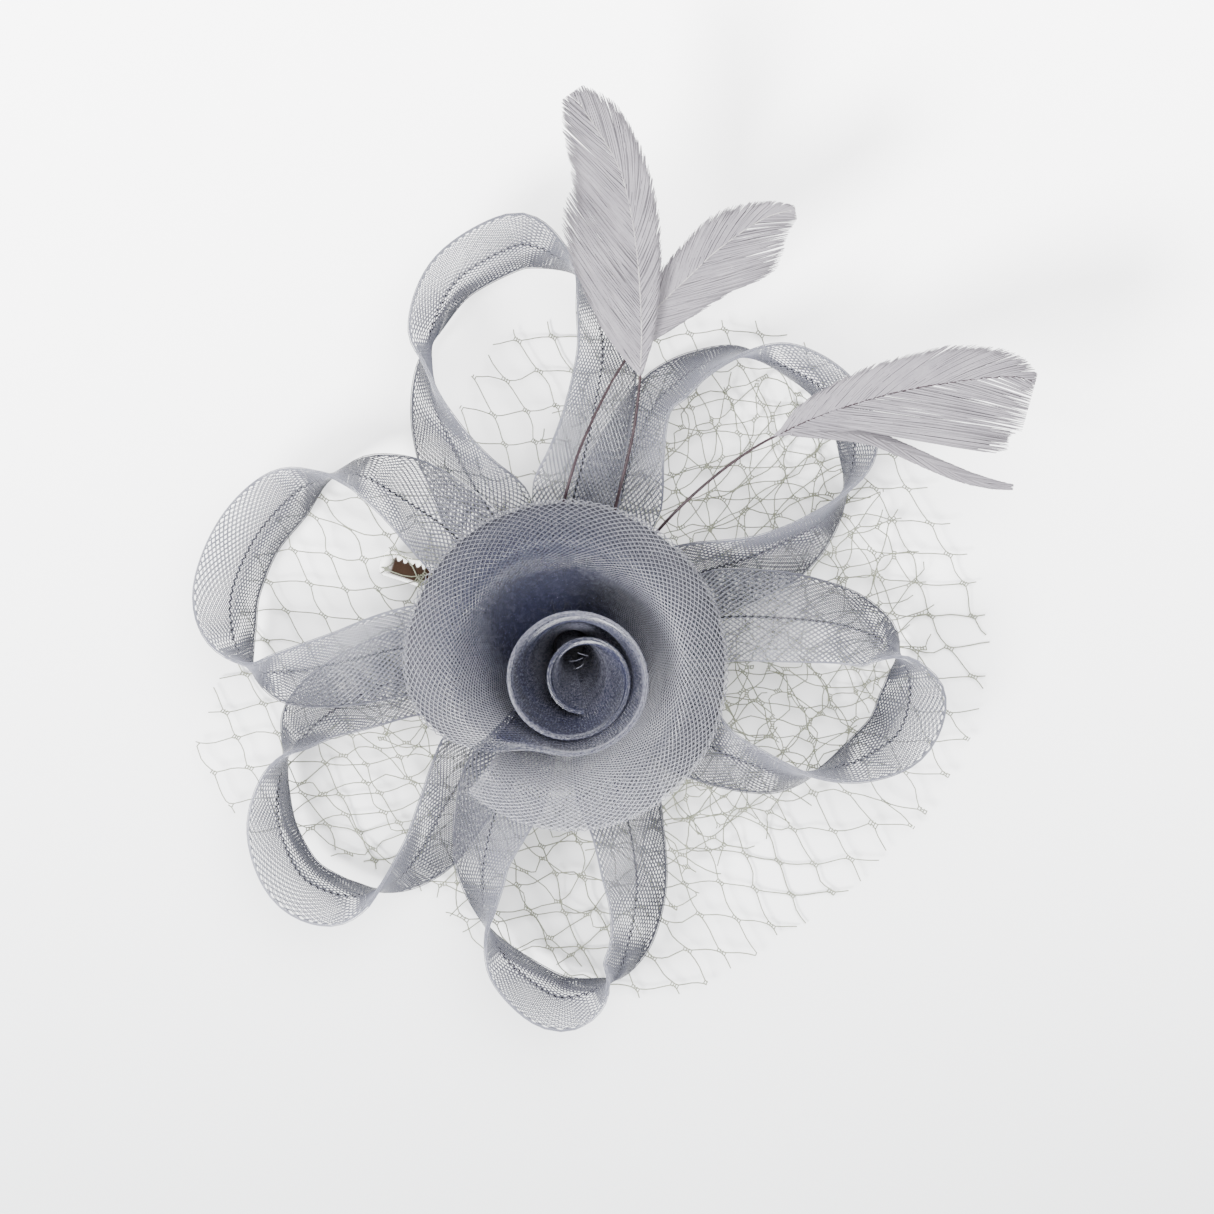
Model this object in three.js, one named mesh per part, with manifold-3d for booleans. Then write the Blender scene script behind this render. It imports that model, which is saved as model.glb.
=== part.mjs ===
// A hair fascinator: a crinoline rose and six ribbon loops on a felt base, over a round of
// millinery net, with three feathers and an alligator clip. Millimetres, +Z up. The object lies
// on a flat surface at z = 0, and its origin is under the middle of its outer box.
import * as THREE from "three";
import { mergeVertices } from "three/addons/utils/BufferGeometryUtils.js";
import Module from "manifold-3d";

const wasm = await Module();
wasm.setup();

// Clearances
const GAP = 0.3;
const LAY = 0.9;

// Felt base, centred on the heart, where everything is sewn on
const FELT_RADIUS = 28;
const FELT_THICKNESS = 2;

// Alligator clip
const CLIP_NOSE = 38;
const CLIP_HANDLE = 20;
const CLIP_WIDTH = 7.5;
const CLIP_PLATE = 0.8;
const CLIP_TOP = 9;
const CLIP_HEADING = 162;
const CLIP_PIN_OUT = 25;
const CLIP_PIN_HEADING = 147.3;
const PIN_RADIUS = 0.7;
const PIN_DROP = 2.6;
const JAW_WIDTH = 5.6;
const JAW_UNDER_PIN = 1.25;
const HANDLE_DROP = 1.2;
const TOOTH_COUNT = 5;
const TOOTH_PITCH = 2;
const TOOTH_HEIGHT = 1.4;
const TOOTH_SETBACK = 2.2;
const TOOTH_RUN_IN = 1.2;
const TOOTH_RUN_OUT = 0.4;
const CLIP_CORNER = 0.9;
const CLIP_NOSE_ROUND = 2;
const PIN_PROUD = 0.3;
const EAR_FLARE = 1;
const EAR_REACH = 2.4;
const SPRING_RADIUS = 1.9;
const SPRING_LENGTH = 2.6;

// Crinoline braid of the loops
const RIBBON_WIDTH = 28.5;
const RIBBON_WALL = 1.2;
const RIBBON_PINCH = 0.32;
const RIBBON_PINCHED_TO = 13;
const RIBBON_FULL_AT = 46;
const LOOP_STEPS = 40;

// Rose
const ROSE_WALL = 1.2;
const ROSE_FOOT_RADIUS = 3.2;
const ROSE_FOOT_GROWTH = 1.7;
const ROSE_RADIUS = 49;
const ROSE_HEIGHT = 44;
const ROSE_STEPS = 84;

// Feathers
const VANE_WALL = 1;
const STEM_WIDTH = 1.2;
const FEATHER_RISE = 46;
const FEATHER_STEPS = 26;
const VANE_DROOP = 0.16;

// Veil
const VEIL_HOLE = 10.5;
const VEIL_COLLAR = 18;
const VEIL_WALL = 1.2;
const VEIL_STRAND = 1.9;
const VEIL_REACH = 128;
const VEIL_SPOKES = 24;
const VEIL_MARGIN = 5;
const VEIL_EDGE = FELT_RADIUS + VEIL_MARGIN;
const VEIL_DROP_TO = 84;
const VEIL_WAVE = 1.4;
const VEIL_WAVES = 8;
const VEIL_TENT_SLOPE = 0.5;
const VEIL_INSET_MOST = 0.6;

const FELT_BOTTOM = CLIP_TOP + GAP;
const FELT_TOP = FELT_BOTTOM + FELT_THICKNESS;
const VEIL_CROWN = FELT_TOP + GAP + VEIL_WALL / 2;
const LOOP_REST = VEIL_CROWN + VEIL_WALL / 2 + GAP + RIBBON_WALL / 2;
const STEM_REST = LOOP_REST + 2 * (RIBBON_WALL + GAP) + VANE_WALL / 2;

const FULL_TURN = 360;
const rad = THREE.MathUtils.degToRad;
const mix = THREE.MathUtils.lerp;
const limit = THREE.MathUtils.clamp;
const vec = (x, y, z = 0) => new THREE.Vector3(x, y, z);

// The way a path runs at a share of its length, from its places a little before and after.
const READING = 0.01;
const travelOf = (path, share) => path(Math.min(share + READING, 1)).sub(path(Math.max(share - READING, 0)));

const finish = {
  braid: new THREE.MeshStandardMaterial({ color: 0xa9a9b4, roughness: 0.45, metalness: 0 }),
  rose: new THREE.MeshStandardMaterial({ color: 0x85848e, roughness: 0.45, metalness: 0 }),
  feather: new THREE.MeshStandardMaterial({ color: 0xc2bfc5, roughness: 0.8, metalness: 0 }),
  net: new THREE.MeshStandardMaterial({ color: 0xbec0b4, roughness: 0.7, metalness: 0 }),
  felt: new THREE.MeshStandardMaterial({ color: 0x8c8c96, roughness: 0.95, metalness: 0 }),
  metal: new THREE.MeshStandardMaterial({ color: 0xd0d0d0, roughness: 0.2, metalness: 1 }),
};

// A closed body from points and triangles, turned so that its faces point out.
function body(points, triangles) {
  let volume = 0;
  for (const [a, b, c] of triangles) {
    volume += points[a].dot(vec(0, 0).crossVectors(points[b], points[c]));
  }
  const index = volume < 0 ? triangles.map(([a, b, c]) => [a, c, b]) : triangles;
  const geometry = new THREE.BufferGeometry().setFromPoints(points);
  geometry.setIndex(index.flat());
  return geometry;
}

// A wall of even thickness round a grid of points, given as rows of equal length.
function wall(grid, thickness) {
  const rows = grid.length;
  const cols = grid[0].length;
  const layers = [[], []];
  for (let row = 0; row < rows; row++) {
    for (let col = 0; col < cols; col++) {
      const along = grid[Math.min(row + 1, rows - 1)][col].clone().sub(grid[Math.max(row - 1, 0)][col]);
      const across = grid[row][Math.min(col + 1, cols - 1)].clone().sub(grid[row][Math.max(col - 1, 0)]);
      const normal = along.cross(across).normalize().multiplyScalar(thickness / 2);
      layers[0].push(grid[row][col].clone().add(normal));
      layers[1].push(grid[row][col].clone().sub(normal));
    }
  }
  const at = (layer, row, col) => (layer * rows + row) * cols + col;
  const triangles = [];
  const quad = (a, b, c, d) => triangles.push([a, b, c], [a, c, d]);
  for (let row = 0; row + 1 < rows; row++) {
    for (let col = 0; col + 1 < cols; col++) {
      quad(at(0, row, col), at(0, row + 1, col), at(0, row + 1, col + 1), at(0, row, col + 1));
      quad(at(1, row, col + 1), at(1, row + 1, col + 1), at(1, row + 1, col), at(1, row, col));
    }
    quad(at(1, row, 0), at(1, row + 1, 0), at(0, row + 1, 0), at(0, row, 0));
    quad(at(0, row, cols - 1), at(0, row + 1, cols - 1), at(1, row + 1, cols - 1), at(1, row, cols - 1));
  }
  for (let col = 0; col + 1 < cols; col++) {
    quad(at(0, 0, col), at(0, 0, col + 1), at(1, 0, col + 1), at(1, 0, col));
    quad(at(1, rows - 1, col), at(1, rows - 1, col + 1), at(0, rows - 1, col + 1), at(0, rows - 1, col));
  }
  return body(layers.flat(), triangles);
}

function solid(geometry) {
  const bare = geometry.clone();
  bare.deleteAttribute("normal");
  bare.deleteAttribute("uv");
  const merged = mergeVertices(bare, 1e-4);
  return new wasm.Manifold(new wasm.Mesh({
    numProp: 3,
    vertProperties: new Float32Array(merged.attributes.position.array),
    triVerts: new Uint32Array(merged.index.array),
  }));
}

function geometryOf(manifold) {
  const mesh = manifold.getMesh();
  const geometry = new THREE.BufferGeometry();
  geometry.setAttribute("position", new THREE.BufferAttribute(mesh.vertProperties, 3));
  geometry.setIndex(new THREE.BufferAttribute(mesh.triVerts, 1));
  return geometry;
}

// A smooth reading of a table: each named column at a share of the way down the rows.
function reader(columns, rows) {
  return (share) => {
    const place = share * (rows.length - 1);
    const row = Math.min(Math.floor(place), rows.length - 2);
    const t = place - row;
    const result = {};
    columns.forEach((name, col) => {
      const value = (i) => rows[Math.min(Math.max(i, 0), rows.length - 1)][col];
      const [a, b, c, d] = [value(row - 1), value(row), value(row + 1), value(row + 2)];
      result[name] = b + 0.5 * t * (c - a + t * (2 * a - 5 * b + 4 * c - d + t * (3 * (b - c) + d - a)));
    });
    return result;
  };
}

// How far the net has come down, from 0 over the felt to 1 on the surface.
function netDrop(distance) {
  return limit((distance - VEIL_EDGE) / (VEIL_DROP_TO - VEIL_EDGE), 0, 1);
}

// The lowest that a ribbon's lower edge may be at a distance from the heart, over the net.
function footHeight(distance) {
  const low = VEIL_WALL + 2 * VEIL_WAVE + LAY + RIBBON_WALL / 2;
  return mix(LOOP_REST, low, netDrop(distance));
}

// Loops: out and side place the middle thread, as shares of the loop's reach and spread. top and
// bottom are how far the braid's two halves lean from lying flat, in degrees, past 90 where the
// upper edge leans outwards. lift raises the lower edge, as a share of the ribbon's width.
const LOOP_COLUMNS = ["out", "side", "top", "bottom", "lift"];
const LOOPS = {
  loop_top: {
    heading: 97.9, reach: 120, spread: 30,
    rows: [
      [0.12, -0.08, 0, 0, 0.055], [0.22, -0.12, 4, 4, 0.1], [0.34, -0.23, 12, 16, 0.24],
      [0.45, -0.4, 38, 36, 0.35], [0.56, -0.56, 50, 40, 0.34], [0.71, -0.74, 56, 50, 0.18],
      [0.83, -0.72, 66, 76, 0.05], [0.93, -0.57, 90, 92, 0], [1, -0.18, 124, 113, 0],
      [1, 0.1, 134, 115, 0], [0.94, 0.62, 131, 110, 0], [0.83, 0.93, 120, 96, 0], [0.75, 1, 98, 74, 0],
      [0.64, 1.02, 77, 59, 0], [0.54, 0.92, 64, 42, 0], [0.45, 0.79, 48, 36, 0],
      [0.35, 0.62, 18, 20, 0], [0.22, 0.38, 4, 6, 0], [0.11, 0.2, 0, 0, 0],
    ],
  },
  loop_upper_right: {
    heading: 38.7, reach: 107, spread: 42,
    rows: [
      [0.13, -0.06, 0, 0, 0], [0.22, -0.08, 8, 6, 0], [0.33, -0.12, 24, 12, 0], [0.42, -0.2, 48, 22, 0],
      [0.55, -0.33, 64, 32, 0], [0.66, -0.4, 72, 42, 0], [0.76, -0.44, 75, 66, 0],
      [0.87, -0.37, 92, 86, 0], [0.95, -0.22, 115, 103, 0], [1, 0, 122, 107, 0], [1, 0.3, 125, 100, 0],
      [0.95, 0.62, 118, 92, 0], [0.88, 0.86, 88, 78, 0], [0.78, 0.98, 73, 71, 0], [0.69, 1, 66, 62, 0],
      [0.6, 0.97, 66, 58, 0], [0.47, 0.8, 44, 44, 0], [0.35, 0.58, 18, 20, 0], [0.22, 0.35, 4, 5, 0],
      [0.11, 0.17, 0, 0, 0],
    ],
  },
  loop_right: {
    heading: -9.2, reach: 103, spread: 27,
    rows: [
      [0.12, -0.24, 0, 0, 0.055], [0.21, -0.42, 4, 4, 0.07], [0.33, -0.66, 26, 22, 0.08],
      [0.47, -0.91, 56, 44, 0.06], [0.6, -1.02, 68, 57, 0.02], [0.68, -1.03, 78, 68, 0],
      [0.77, -0.96, 96, 88, 0], [0.88, -0.75, 119, 112, 0], [0.98, -0.4, 138, 126, 0],
      [1, 0, 142, 124, 0], [0.985, 0.28, 116, 112, 0], [0.955, 0.47, 88, 90, 0],
      [0.9, 0.62, 52, 66, 0.05], [0.82, 0.7, 36, 50, 0.12], [0.74, 0.73, 27, 40, 0.18],
      [0.6, 0.7, 14, 24, 0.3], [0.46, 0.63, 10, 18, 0.3], [0.33, 0.5, 8, 10, 0.22],
      [0.21, 0.32, 2, 3, 0.1], [0.125, 0.19, 0, 0, 0.055],
    ],
  },
  loop_bottom: {
    heading: -91.3, reach: 105, spread: 24.5,
    rows: [
      [0.12, -0.22, 0, 0, 0.055], [0.22, -0.4, 4, 4, 0.1], [0.33, -0.62, 10, 16, 0.22],
      [0.45, -0.85, 24, 32, 0.28], [0.6, -1, 52, 50, 0.2], [0.69, -1.02, 62, 64, 0.1],
      [0.78, -0.98, 78, 82, 0], [0.84, -0.88, 98, 92, 0], [0.92, -0.6, 124, 104, 0],
      [1, -0.12, 135, 112, 0], [1, 0.2, 128, 106, 0], [0.975, 0.48, 104, 96, 0],
      [0.94, 0.68, 70, 82, 0], [0.86, 0.81, 66, 66, 0], [0.77, 0.88, 58, 58, 0], [0.66, 0.9, 42, 53, 0],
      [0.5, 0.78, 32, 46, 0], [0.35, 0.55, 14, 24, 0], [0.22, 0.35, 4, 5, 0], [0.12, 0.18, 0, 0, 0],
    ],
  },
  loop_lower_left: {
    heading: -137.3, reach: 106, spread: 34,
    rows: [
      [0.11, -0.22, 0, 0, 0], [0.2, -0.4, 4, 4, 0], [0.31, -0.62, 16, 10, 0], [0.41, -0.8, 30, 16, 0],
      [0.53, -0.94, 40, 22, 0], [0.65, -1.02, 58, 34, 0], [0.74, -1.01, 74, 54, 0],
      [0.81, -0.97, 94, 87, 0], [0.88, -0.82, 115, 98, 0], [0.96, -0.52, 134, 106, 0],
      [1, -0.12, 142, 111, 0], [0.97, 0.18, 136, 108, 0], [0.92, 0.36, 112, 100, 0],
      [0.86, 0.46, 86, 84, 0], [0.78, 0.5, 70, 66, 0], [0.69, 0.44, 65, 44, 0], [0.58, 0.32, 56, 32, 0],
      [0.44, 0.2, 36, 20, 0], [0.33, 0.13, 16, 12, 0], [0.22, 0.08, 4, 5, 0], [0.12, 0.045, 0, 0, 0],
    ],
  },
  loop_left: {
    heading: 170.7, reach: 102.5, spread: 40,
    rows: [
      [0.11, -0.19, 0, 0, 0.055], [0.2, -0.35, 3, 3, 0.1], [0.3, -0.53, 14, 10, 0.24],
      [0.42, -0.74, 28, 20, 0.3], [0.56, -0.9, 54, 30, 0.24], [0.66, -1, 64, 58, 0.1],
      [0.73, -1, 76, 80, 0.02], [0.8, -0.93, 98, 96, 0], [0.88, -0.74, 134, 116, 0],
      [0.96, -0.4, 148, 118, 0], [1, 0, 146, 120, 0], [0.985, 0.28, 130, 116, 0],
      [0.95, 0.47, 102, 104, 0], [0.9, 0.58, 78, 84, 0.04], [0.81, 0.56, 62, 50, 0.23],
      [0.65, 0.42, 47, 28, 0.34], [0.5, 0.26, 32, 18, 0.32], [0.36, 0.16, 16, 10, 0.28],
      [0.22, 0.1, 4, 4, 0.12], [0.13, 0.06, 0, 0, 0.055],
    ],
  },
};

function loop({ heading, reach, spread, rows }) {
  const read = reader(LOOP_COLUMNS, rows);
  const turn = rad(heading);
  const plan = (share) => {
    const { out, side } = read(share);
    return vec(out * reach, side * spread).applyAxisAngle(vec(0, 0, 1), turn);
  };
  const grid = [];
  for (let step = 0; step <= LOOP_STEPS; step++) {
    const share = step / LOOP_STEPS;
    const { top, bottom, lift } = read(share);
    const thread = plan(share);
    const travel = travelOf(plan, share).normalize();
    const inward = vec(-travel.y, travel.x);
    const distance = thread.length();
    const opened = limit((distance - RIBBON_PINCHED_TO) / (RIBBON_FULL_AT - RIBBON_PINCHED_TO), 0, 1);
    const half = (RIBBON_WIDTH / 2) * mix(RIBBON_PINCH, 1, opened);
    thread.z = footHeight(distance) + lift * RIBBON_WIDTH + half * Math.sin(rad(bottom));
    const lean = (angle, length) => inward.clone().multiplyScalar(length * Math.cos(rad(angle)))
      .add(vec(0, 0, length * Math.sin(rad(angle))));
    grid.push([thread.clone().add(lean(top, half)), thread, thread.clone().sub(lean(bottom, half))]);
  }
  return wall(grid, RIBBON_WALL);
}

// Rose: angle in degrees from the inner end to the outer one, and shares of the named sizes. rim is
// the radius of the band's upper edge, crest that of its fold, waist that of its wall lower down.
// east and north shift the rim's centre.
const ROSE_COLUMNS = ["angle", "rim", "rimRise", "crest", "crestRise", "waist", "east", "north"];
const ROSE_ROWS = [
  [990, 0.2, 0.76, 0.18, 0.69, 0.1, 0.09, -0.21],
  [900, 0.22, 0.78, 0.2, 0.71, 0.13, 0.09, -0.21],
  [810, 0.25, 0.81, 0.23, 0.74, 0.16, 0.09, -0.21],
  [720, 0.28, 0.85, 0.26, 0.78, 0.19, 0.08, -0.21],
  [660, 0.31, 0.88, 0.29, 0.81, 0.21, 0.07, -0.22],
  [600, 0.37, 0.93, 0.35, 0.86, 0.24, 0.05, -0.22],
  [540, 0.41, 0.97, 0.39, 0.9, 0.27, 0.04, -0.22],
  [480, 0.42, 0.99, 0.4, 0.92, 0.28, 0.04, -0.22],
  [420, 0.42, 1, 0.4, 0.93, 0.29, 0.04, -0.22],
  [360, 0.43, 1, 0.41, 0.93, 0.3, 0.04, -0.22],
  [330, 0.43, 1, 0.41, 0.93, 0.3, 0.04, -0.22],
  [275, 0.44, 0.98, 0.42, 0.92, 0.31, 0.03, -0.22],
  [240, 0.5, 0.92, 0.45, 0.88, 0.33, 0.01, -0.2],
  [218, 0.76, 0.76, 0.56, 0.82, 0.36, -0.01, -0.16],
  [195, 0.96, 0.64, 0.65, 0.8, 0.39, -0.03, -0.13],
  [150, 1, 0.6, 0.68, 0.82, 0.43, -0.03, -0.11],
  [95, 1, 0.6, 0.69, 0.84, 0.46, -0.03, -0.11],
  [45, 1, 0.58, 0.7, 0.82, 0.48, -0.03, -0.12],
  [0, 1, 0.54, 0.71, 0.76, 0.5, -0.03, -0.13],
  [-45, 1.01, 0.5, 0.73, 0.68, 0.52, -0.03, -0.14],
  [-90, 1, 0.5, 0.74, 0.64, 0.54, -0.03, -0.14],
  [-128, 0.96, 0.52, 0.74, 0.6, 0.55, -0.03, -0.14],
];

// The band's section from foot to rim: a share of the way from one named radius to another, the
// height as a share of the crest's, and how far that falls to the rim's height.
const ROSE_SECTION = [
  { from: "foot", to: "foot", share: 0, rise: 0, fall: 0 },
  { from: "foot", to: "waist", share: 0.25, rise: 0.25, fall: 0 },
  { from: "waist", to: "waist", share: 0, rise: 0.62, fall: 0 },
  { from: "waist", to: "crest", share: 0.6, rise: 0.88, fall: 0 },
  { from: "crest", to: "rim", share: 0.12, rise: 1, fall: 0 },
  { from: "crest", to: "rim", share: 0.6, rise: 1, fall: 0.45 },
  { from: "rim", to: "rim", share: 0, rise: 1, fall: 1 },
];

function rose() {
  const read = reader(ROSE_COLUMNS, ROSE_ROWS);
  const bottom = FELT_TOP + GAP + ROSE_WALL / 2;
  const innerEnd = read(0).angle;
  const grid = [];
  for (let step = 0; step <= ROSE_STEPS; step++) {
    const row = read(step / ROSE_STEPS);
    row.foot = (ROSE_FOOT_RADIUS + ROSE_FOOT_GROWTH * (innerEnd - row.angle) / FULL_TURN) / ROSE_RADIUS;
    const turn = rad(row.angle);
    grid.push(ROSE_SECTION.map(({ from, to, share, rise, fall }) => {
      const radius = mix(row[from], row[to], share);
      return vec(radius * Math.cos(turn) + rise * row.east, radius * Math.sin(turn) + rise * row.north)
        .multiplyScalar(ROSE_RADIUS)
        .setZ(bottom + mix(rise * row.crestRise, row.rimRise, fall) * ROSE_HEIGHT);
    }));
  }
  return wall(grid, ROSE_WALL);
}

// Feathers: east and north place the shaft and left and right are the vane's widths on each side
// of it, all as shares of the feather's length. rise is a share of the feathers' rise.
const FEATHER_COLUMNS = ["east", "north", "rise", "left", "right"];
const FEATHERS = {
  feather_tall: {
    length: 165,
    rows: [
      [0.04, 0.085, 0, 0, 0], [0.062, 0.16, 0.1, 0, 0], [0.08, 0.24, 0.2, 0, 0],
      [0.1, 0.32, 0.28, 0, 0], [0.115, 0.385, 0.33, 0, 0], [0.124, 0.45, 0.38, 0, 0],
      [0.128, 0.5, 0.43, 0.006, 0.006], [0.13, 0.56, 0.5, 0.06, 0.022],
      [0.128, 0.62, 0.58, 0.088, 0.032], [0.124, 0.68, 0.66, 0.108, 0.04],
      [0.117, 0.74, 0.74, 0.12, 0.046], [0.106, 0.8, 0.81, 0.117, 0.048],
      [0.09, 0.855, 0.87, 0.092, 0.05], [0.066, 0.9, 0.92, 0.074, 0.052],
      [0.034, 0.948, 0.96, 0.054, 0.05], [0.004, 0.99, 1, 0.022, 0.024],
    ],
  },
  feather_short: {
    length: 145,
    rows: [
      [-0.03, 0.1, 0, 0, 0], [-0.03, 0.19, 0.12, 0, 0], [-0.016, 0.28, 0.3, 0, 0],
      [0.012, 0.38, 0.4, 0, 0], [0.045, 0.46, 0.41, 0, 0], [0.085, 0.54, 0.41, 0, 0],
      [0.122, 0.6, 0.41, 0, 0], [0.158, 0.665, 0.43, 0.03, 0.04], [0.2, 0.715, 0.47, 0.046, 0.06],
      [0.248, 0.76, 0.53, 0.054, 0.072], [0.29, 0.8, 0.6, 0.058, 0.084],
      [0.332, 0.832, 0.67, 0.062, 0.096], [0.376, 0.862, 0.74, 0.048, 0.096],
      [0.42, 0.882, 0.8, 0.028, 0.066], [0.462, 0.89, 0.84, 0.01, 0.02],
    ],
  },
  feather_right: {
    length: 165,
    rows: [
      [0.06, 0.075, -0.04, 0, 0], [0.1, 0.13, 0.06, 0, 0], [0.145, 0.19, 0.22, 0, 0],
      [0.19, 0.24, 0.32, 0, 0], [0.238, 0.285, 0.4, 0, 0], [0.29, 0.327, 0.46, 0, 0],
      [0.342, 0.362, 0.52, 0, 0], [0.385, 0.384, 0.56, 0.008, 0.006], [0.43, 0.405, 0.6, 0.032, 0.02],
      [0.49, 0.427, 0.66, 0.046, 0.04], [0.555, 0.447, 0.72, 0.056, 0.058],
      [0.62, 0.462, 0.78, 0.06, 0.082], [0.69, 0.473, 0.84, 0.064, 0.108],
      [0.75, 0.48, 0.9, 0.056, 0.128], [0.8, 0.481, 0.95, 0.04, 0.12], [0.835, 0.472, 1, 0.014, 0.09],
    ],
    split: [
      [0.4, 0.384, 0.57, 0.006, 0.006], [0.46, 0.385, 0.58, 0.012, 0.012],
      [0.54, 0.377, 0.58, 0.012, 0.014], [0.6, 0.354, 0.58, 0.012, 0.014],
      [0.655, 0.328, 0.58, 0.013, 0.013], [0.71, 0.304, 0.6, 0.013, 0.011],
      [0.76, 0.29, 0.63, 0.01, 0.008], [0.8, 0.285, 0.66, 0.005, 0.005],
    ],
  },
};

function vane(rows, length) {
  const read = reader(FEATHER_COLUMNS, rows);
  const shaft = (share) => {
    const row = read(share);
    return vec(row.east * length, row.north * length, STEM_REST + row.rise * FEATHER_RISE);
  };
  const grid = [];
  for (let step = 0; step <= FEATHER_STEPS; step++) {
    const share = step / FEATHER_STEPS;
    const { left, right } = read(share);
    const middle = shaft(share);
    const travel = travelOf(shaft, share);
    const leftward = vec(-travel.y, travel.x).normalize();
    const edge = (side, width) => {
      const span = Math.max(width * length, STEM_WIDTH / 2);
      return middle.clone().addScaledVector(leftward, side * span).add(vec(0, 0, -VANE_DROOP * span));
    };
    grid.push([edge(1, left), middle, edge(-1, right)]);
  }
  return wall(grid, VANE_WALL);
}

function feather({ length, rows, split }) {
  const main = vane(rows, length);
  return split ? geometryOf(solid(main).add(solid(vane(split, length)))) : main;
}

// Veil: how far the net reaches at each heading, as a share of its full reach.
const VEIL_OUTLINE = [
  [0, 1], [15, 0.96], [30, 0.9], [45, 0.92], [60, 0.9], [75, 0.79], [90, 0.8], [105, 0.74],
  [120, 0.56], [135, 0.5], [150, 0.74], [165, 0.78], [180, 0.8], [195, 0.92], [210, 0.88], [225, 0.72],
  [240, 0.68], [255, 0.76], [270, 0.8], [285, 0.88], [300, 0.86], [315, 0.87], [330, 0.92], [345, 0.97],
];
const VEIL_RINGS = [0, 0.24, 0.45, 0.65, 0.83, 1];

function veilReach(heading) {
  const place = (THREE.MathUtils.euclideanModulo(heading, FULL_TURN) * VEIL_OUTLINE.length) / FULL_TURN;
  const row = Math.floor(place);
  const value = (i) => VEIL_OUTLINE[i % VEIL_OUTLINE.length][1];
  return VEIL_REACH * mix(value(row), value(row + 1), place - row);
}

// Height of the net's middle surface: flat over the felt, down to the surface, then rippled, and
// held up where it passes over the clip.
function veilHeight(x, y) {
  const distance = Math.hypot(x, y);
  const heading = Math.atan2(y, x);
  const drop = netDrop(distance);
  const ripple = VEIL_WAVE * (1 - Math.cos(VEIL_WAVES * heading)) * drop;
  const low = mix(VEIL_CROWN, VEIL_WALL / 2, drop) + ripple;
  const clip = clipPoint(x, y);
  const beside = Math.max(Math.abs(clip.y) - CLIP_WIDTH, 0);
  const past = Math.max(clip.x - CLIP_NOSE, -clip.x, 0);
  return Math.max(low, CLIP_TOP + LAY + VEIL_WALL - VEIL_TENT_SLOPE * Math.hypot(beside, past));
}

function veil() {
  const nodes = [];
  const nodeAt = (ring, spoke) => {
    const heading = ((spoke + (ring % 2) / 2) * FULL_TURN) / VEIL_SPOKES;
    const radius = ring ? mix(VEIL_EDGE, veilReach(heading), VEIL_RINGS[ring - 1]) : VEIL_COLLAR;
    return vec(radius * Math.cos(rad(heading)), radius * Math.sin(rad(heading)));
  };
  const points = [];
  const add = (point) => {
    const height = veilHeight(point.x, point.y);
    points.push(vec(point.x, point.y, height + VEIL_WALL / 2), vec(point.x, point.y, height - VEIL_WALL / 2));
    return points.length - 2;
  };
  for (let ring = 0; ring <= VEIL_RINGS.length; ring++) {
    nodes.push([]);
    for (let spoke = 0; spoke < VEIL_SPOKES; spoke++) {
      nodes[ring].push(add(nodeAt(ring, spoke)));
    }
  }
  const node = (ring, spoke) => nodes[ring][((spoke % VEIL_SPOKES) + VEIL_SPOKES) % VEIL_SPOKES];
  const triangles = [];
  const sheet = (a, b, c) => triangles.push([a, b, c], [a + 1, c + 1, b + 1]);
  const side = (a, b) => triangles.push([a, a + 1, b + 1], [a, b + 1, b]);
  const hole = (corners) => {
    const flat = corners.map((i) => vec(points[i].x, points[i].y));
    const middle = flat.reduce((sum, p) => sum.add(p), vec(0, 0)).divideScalar(corners.length);
    const inner = flat.map((p) => {
      const inset = Math.min(VEIL_STRAND / p.distanceTo(middle), VEIL_INSET_MOST);
      return add(p.clone().lerp(middle, inset));
    });
    corners.forEach((corner, i) => {
      const next = (i + 1) % corners.length;
      sheet(corner, corners[next], inner[next]);
      sheet(corner, inner[next], inner[i]);
      side(inner[next], inner[i]);
    });
  };
  const last = VEIL_RINGS.length;
  for (let ring = 0; ring + 2 <= last; ring++) {
    for (let spoke = 0; spoke < VEIL_SPOKES; spoke++) {
      const near = spoke + (ring % 2);
      hole([node(ring, spoke), node(ring + 1, near), node(ring + 2, spoke), node(ring + 1, near - 1)]);
    }
  }
  const collar = [];
  for (let i = 0; i < 2 * VEIL_SPOKES; i++) {
    const heading = rad((i * FULL_TURN) / (2 * VEIL_SPOKES));
    collar.push(add(vec(VEIL_HOLE * Math.cos(heading), VEIL_HOLE * Math.sin(heading))));
  }
  for (let i = 0; i < 2 * VEIL_SPOKES; i++) {
    const next = (i + 1) % (2 * VEIL_SPOKES);
    const here = node(i % 2, Math.floor(i / 2));
    const there = node(next % 2, Math.floor(next / 2));
    sheet(collar[i], there, here);
    sheet(collar[i], collar[next], there);
    side(collar[i], collar[next]);
  }
  for (let spoke = 0; spoke < VEIL_SPOKES; spoke++) {
    const near = spoke + (last % 2);
    const tip = node(last, spoke);
    side(node(last - 1, near), tip);
    side(tip, node(last - 1, near - 1));
  }
  return body(points, triangles);
}

// Clip: its own axes run from the pin to the nose, across, and up.
const CLIP_PIN = vec(
  CLIP_PIN_OUT * Math.cos(rad(CLIP_PIN_HEADING)),
  CLIP_PIN_OUT * Math.sin(rad(CLIP_PIN_HEADING)),
);

function clipPoint(x, y) {
  return vec(x, y).sub(CLIP_PIN).applyAxisAngle(vec(0, 0, 1), -rad(CLIP_HEADING));
}

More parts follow.
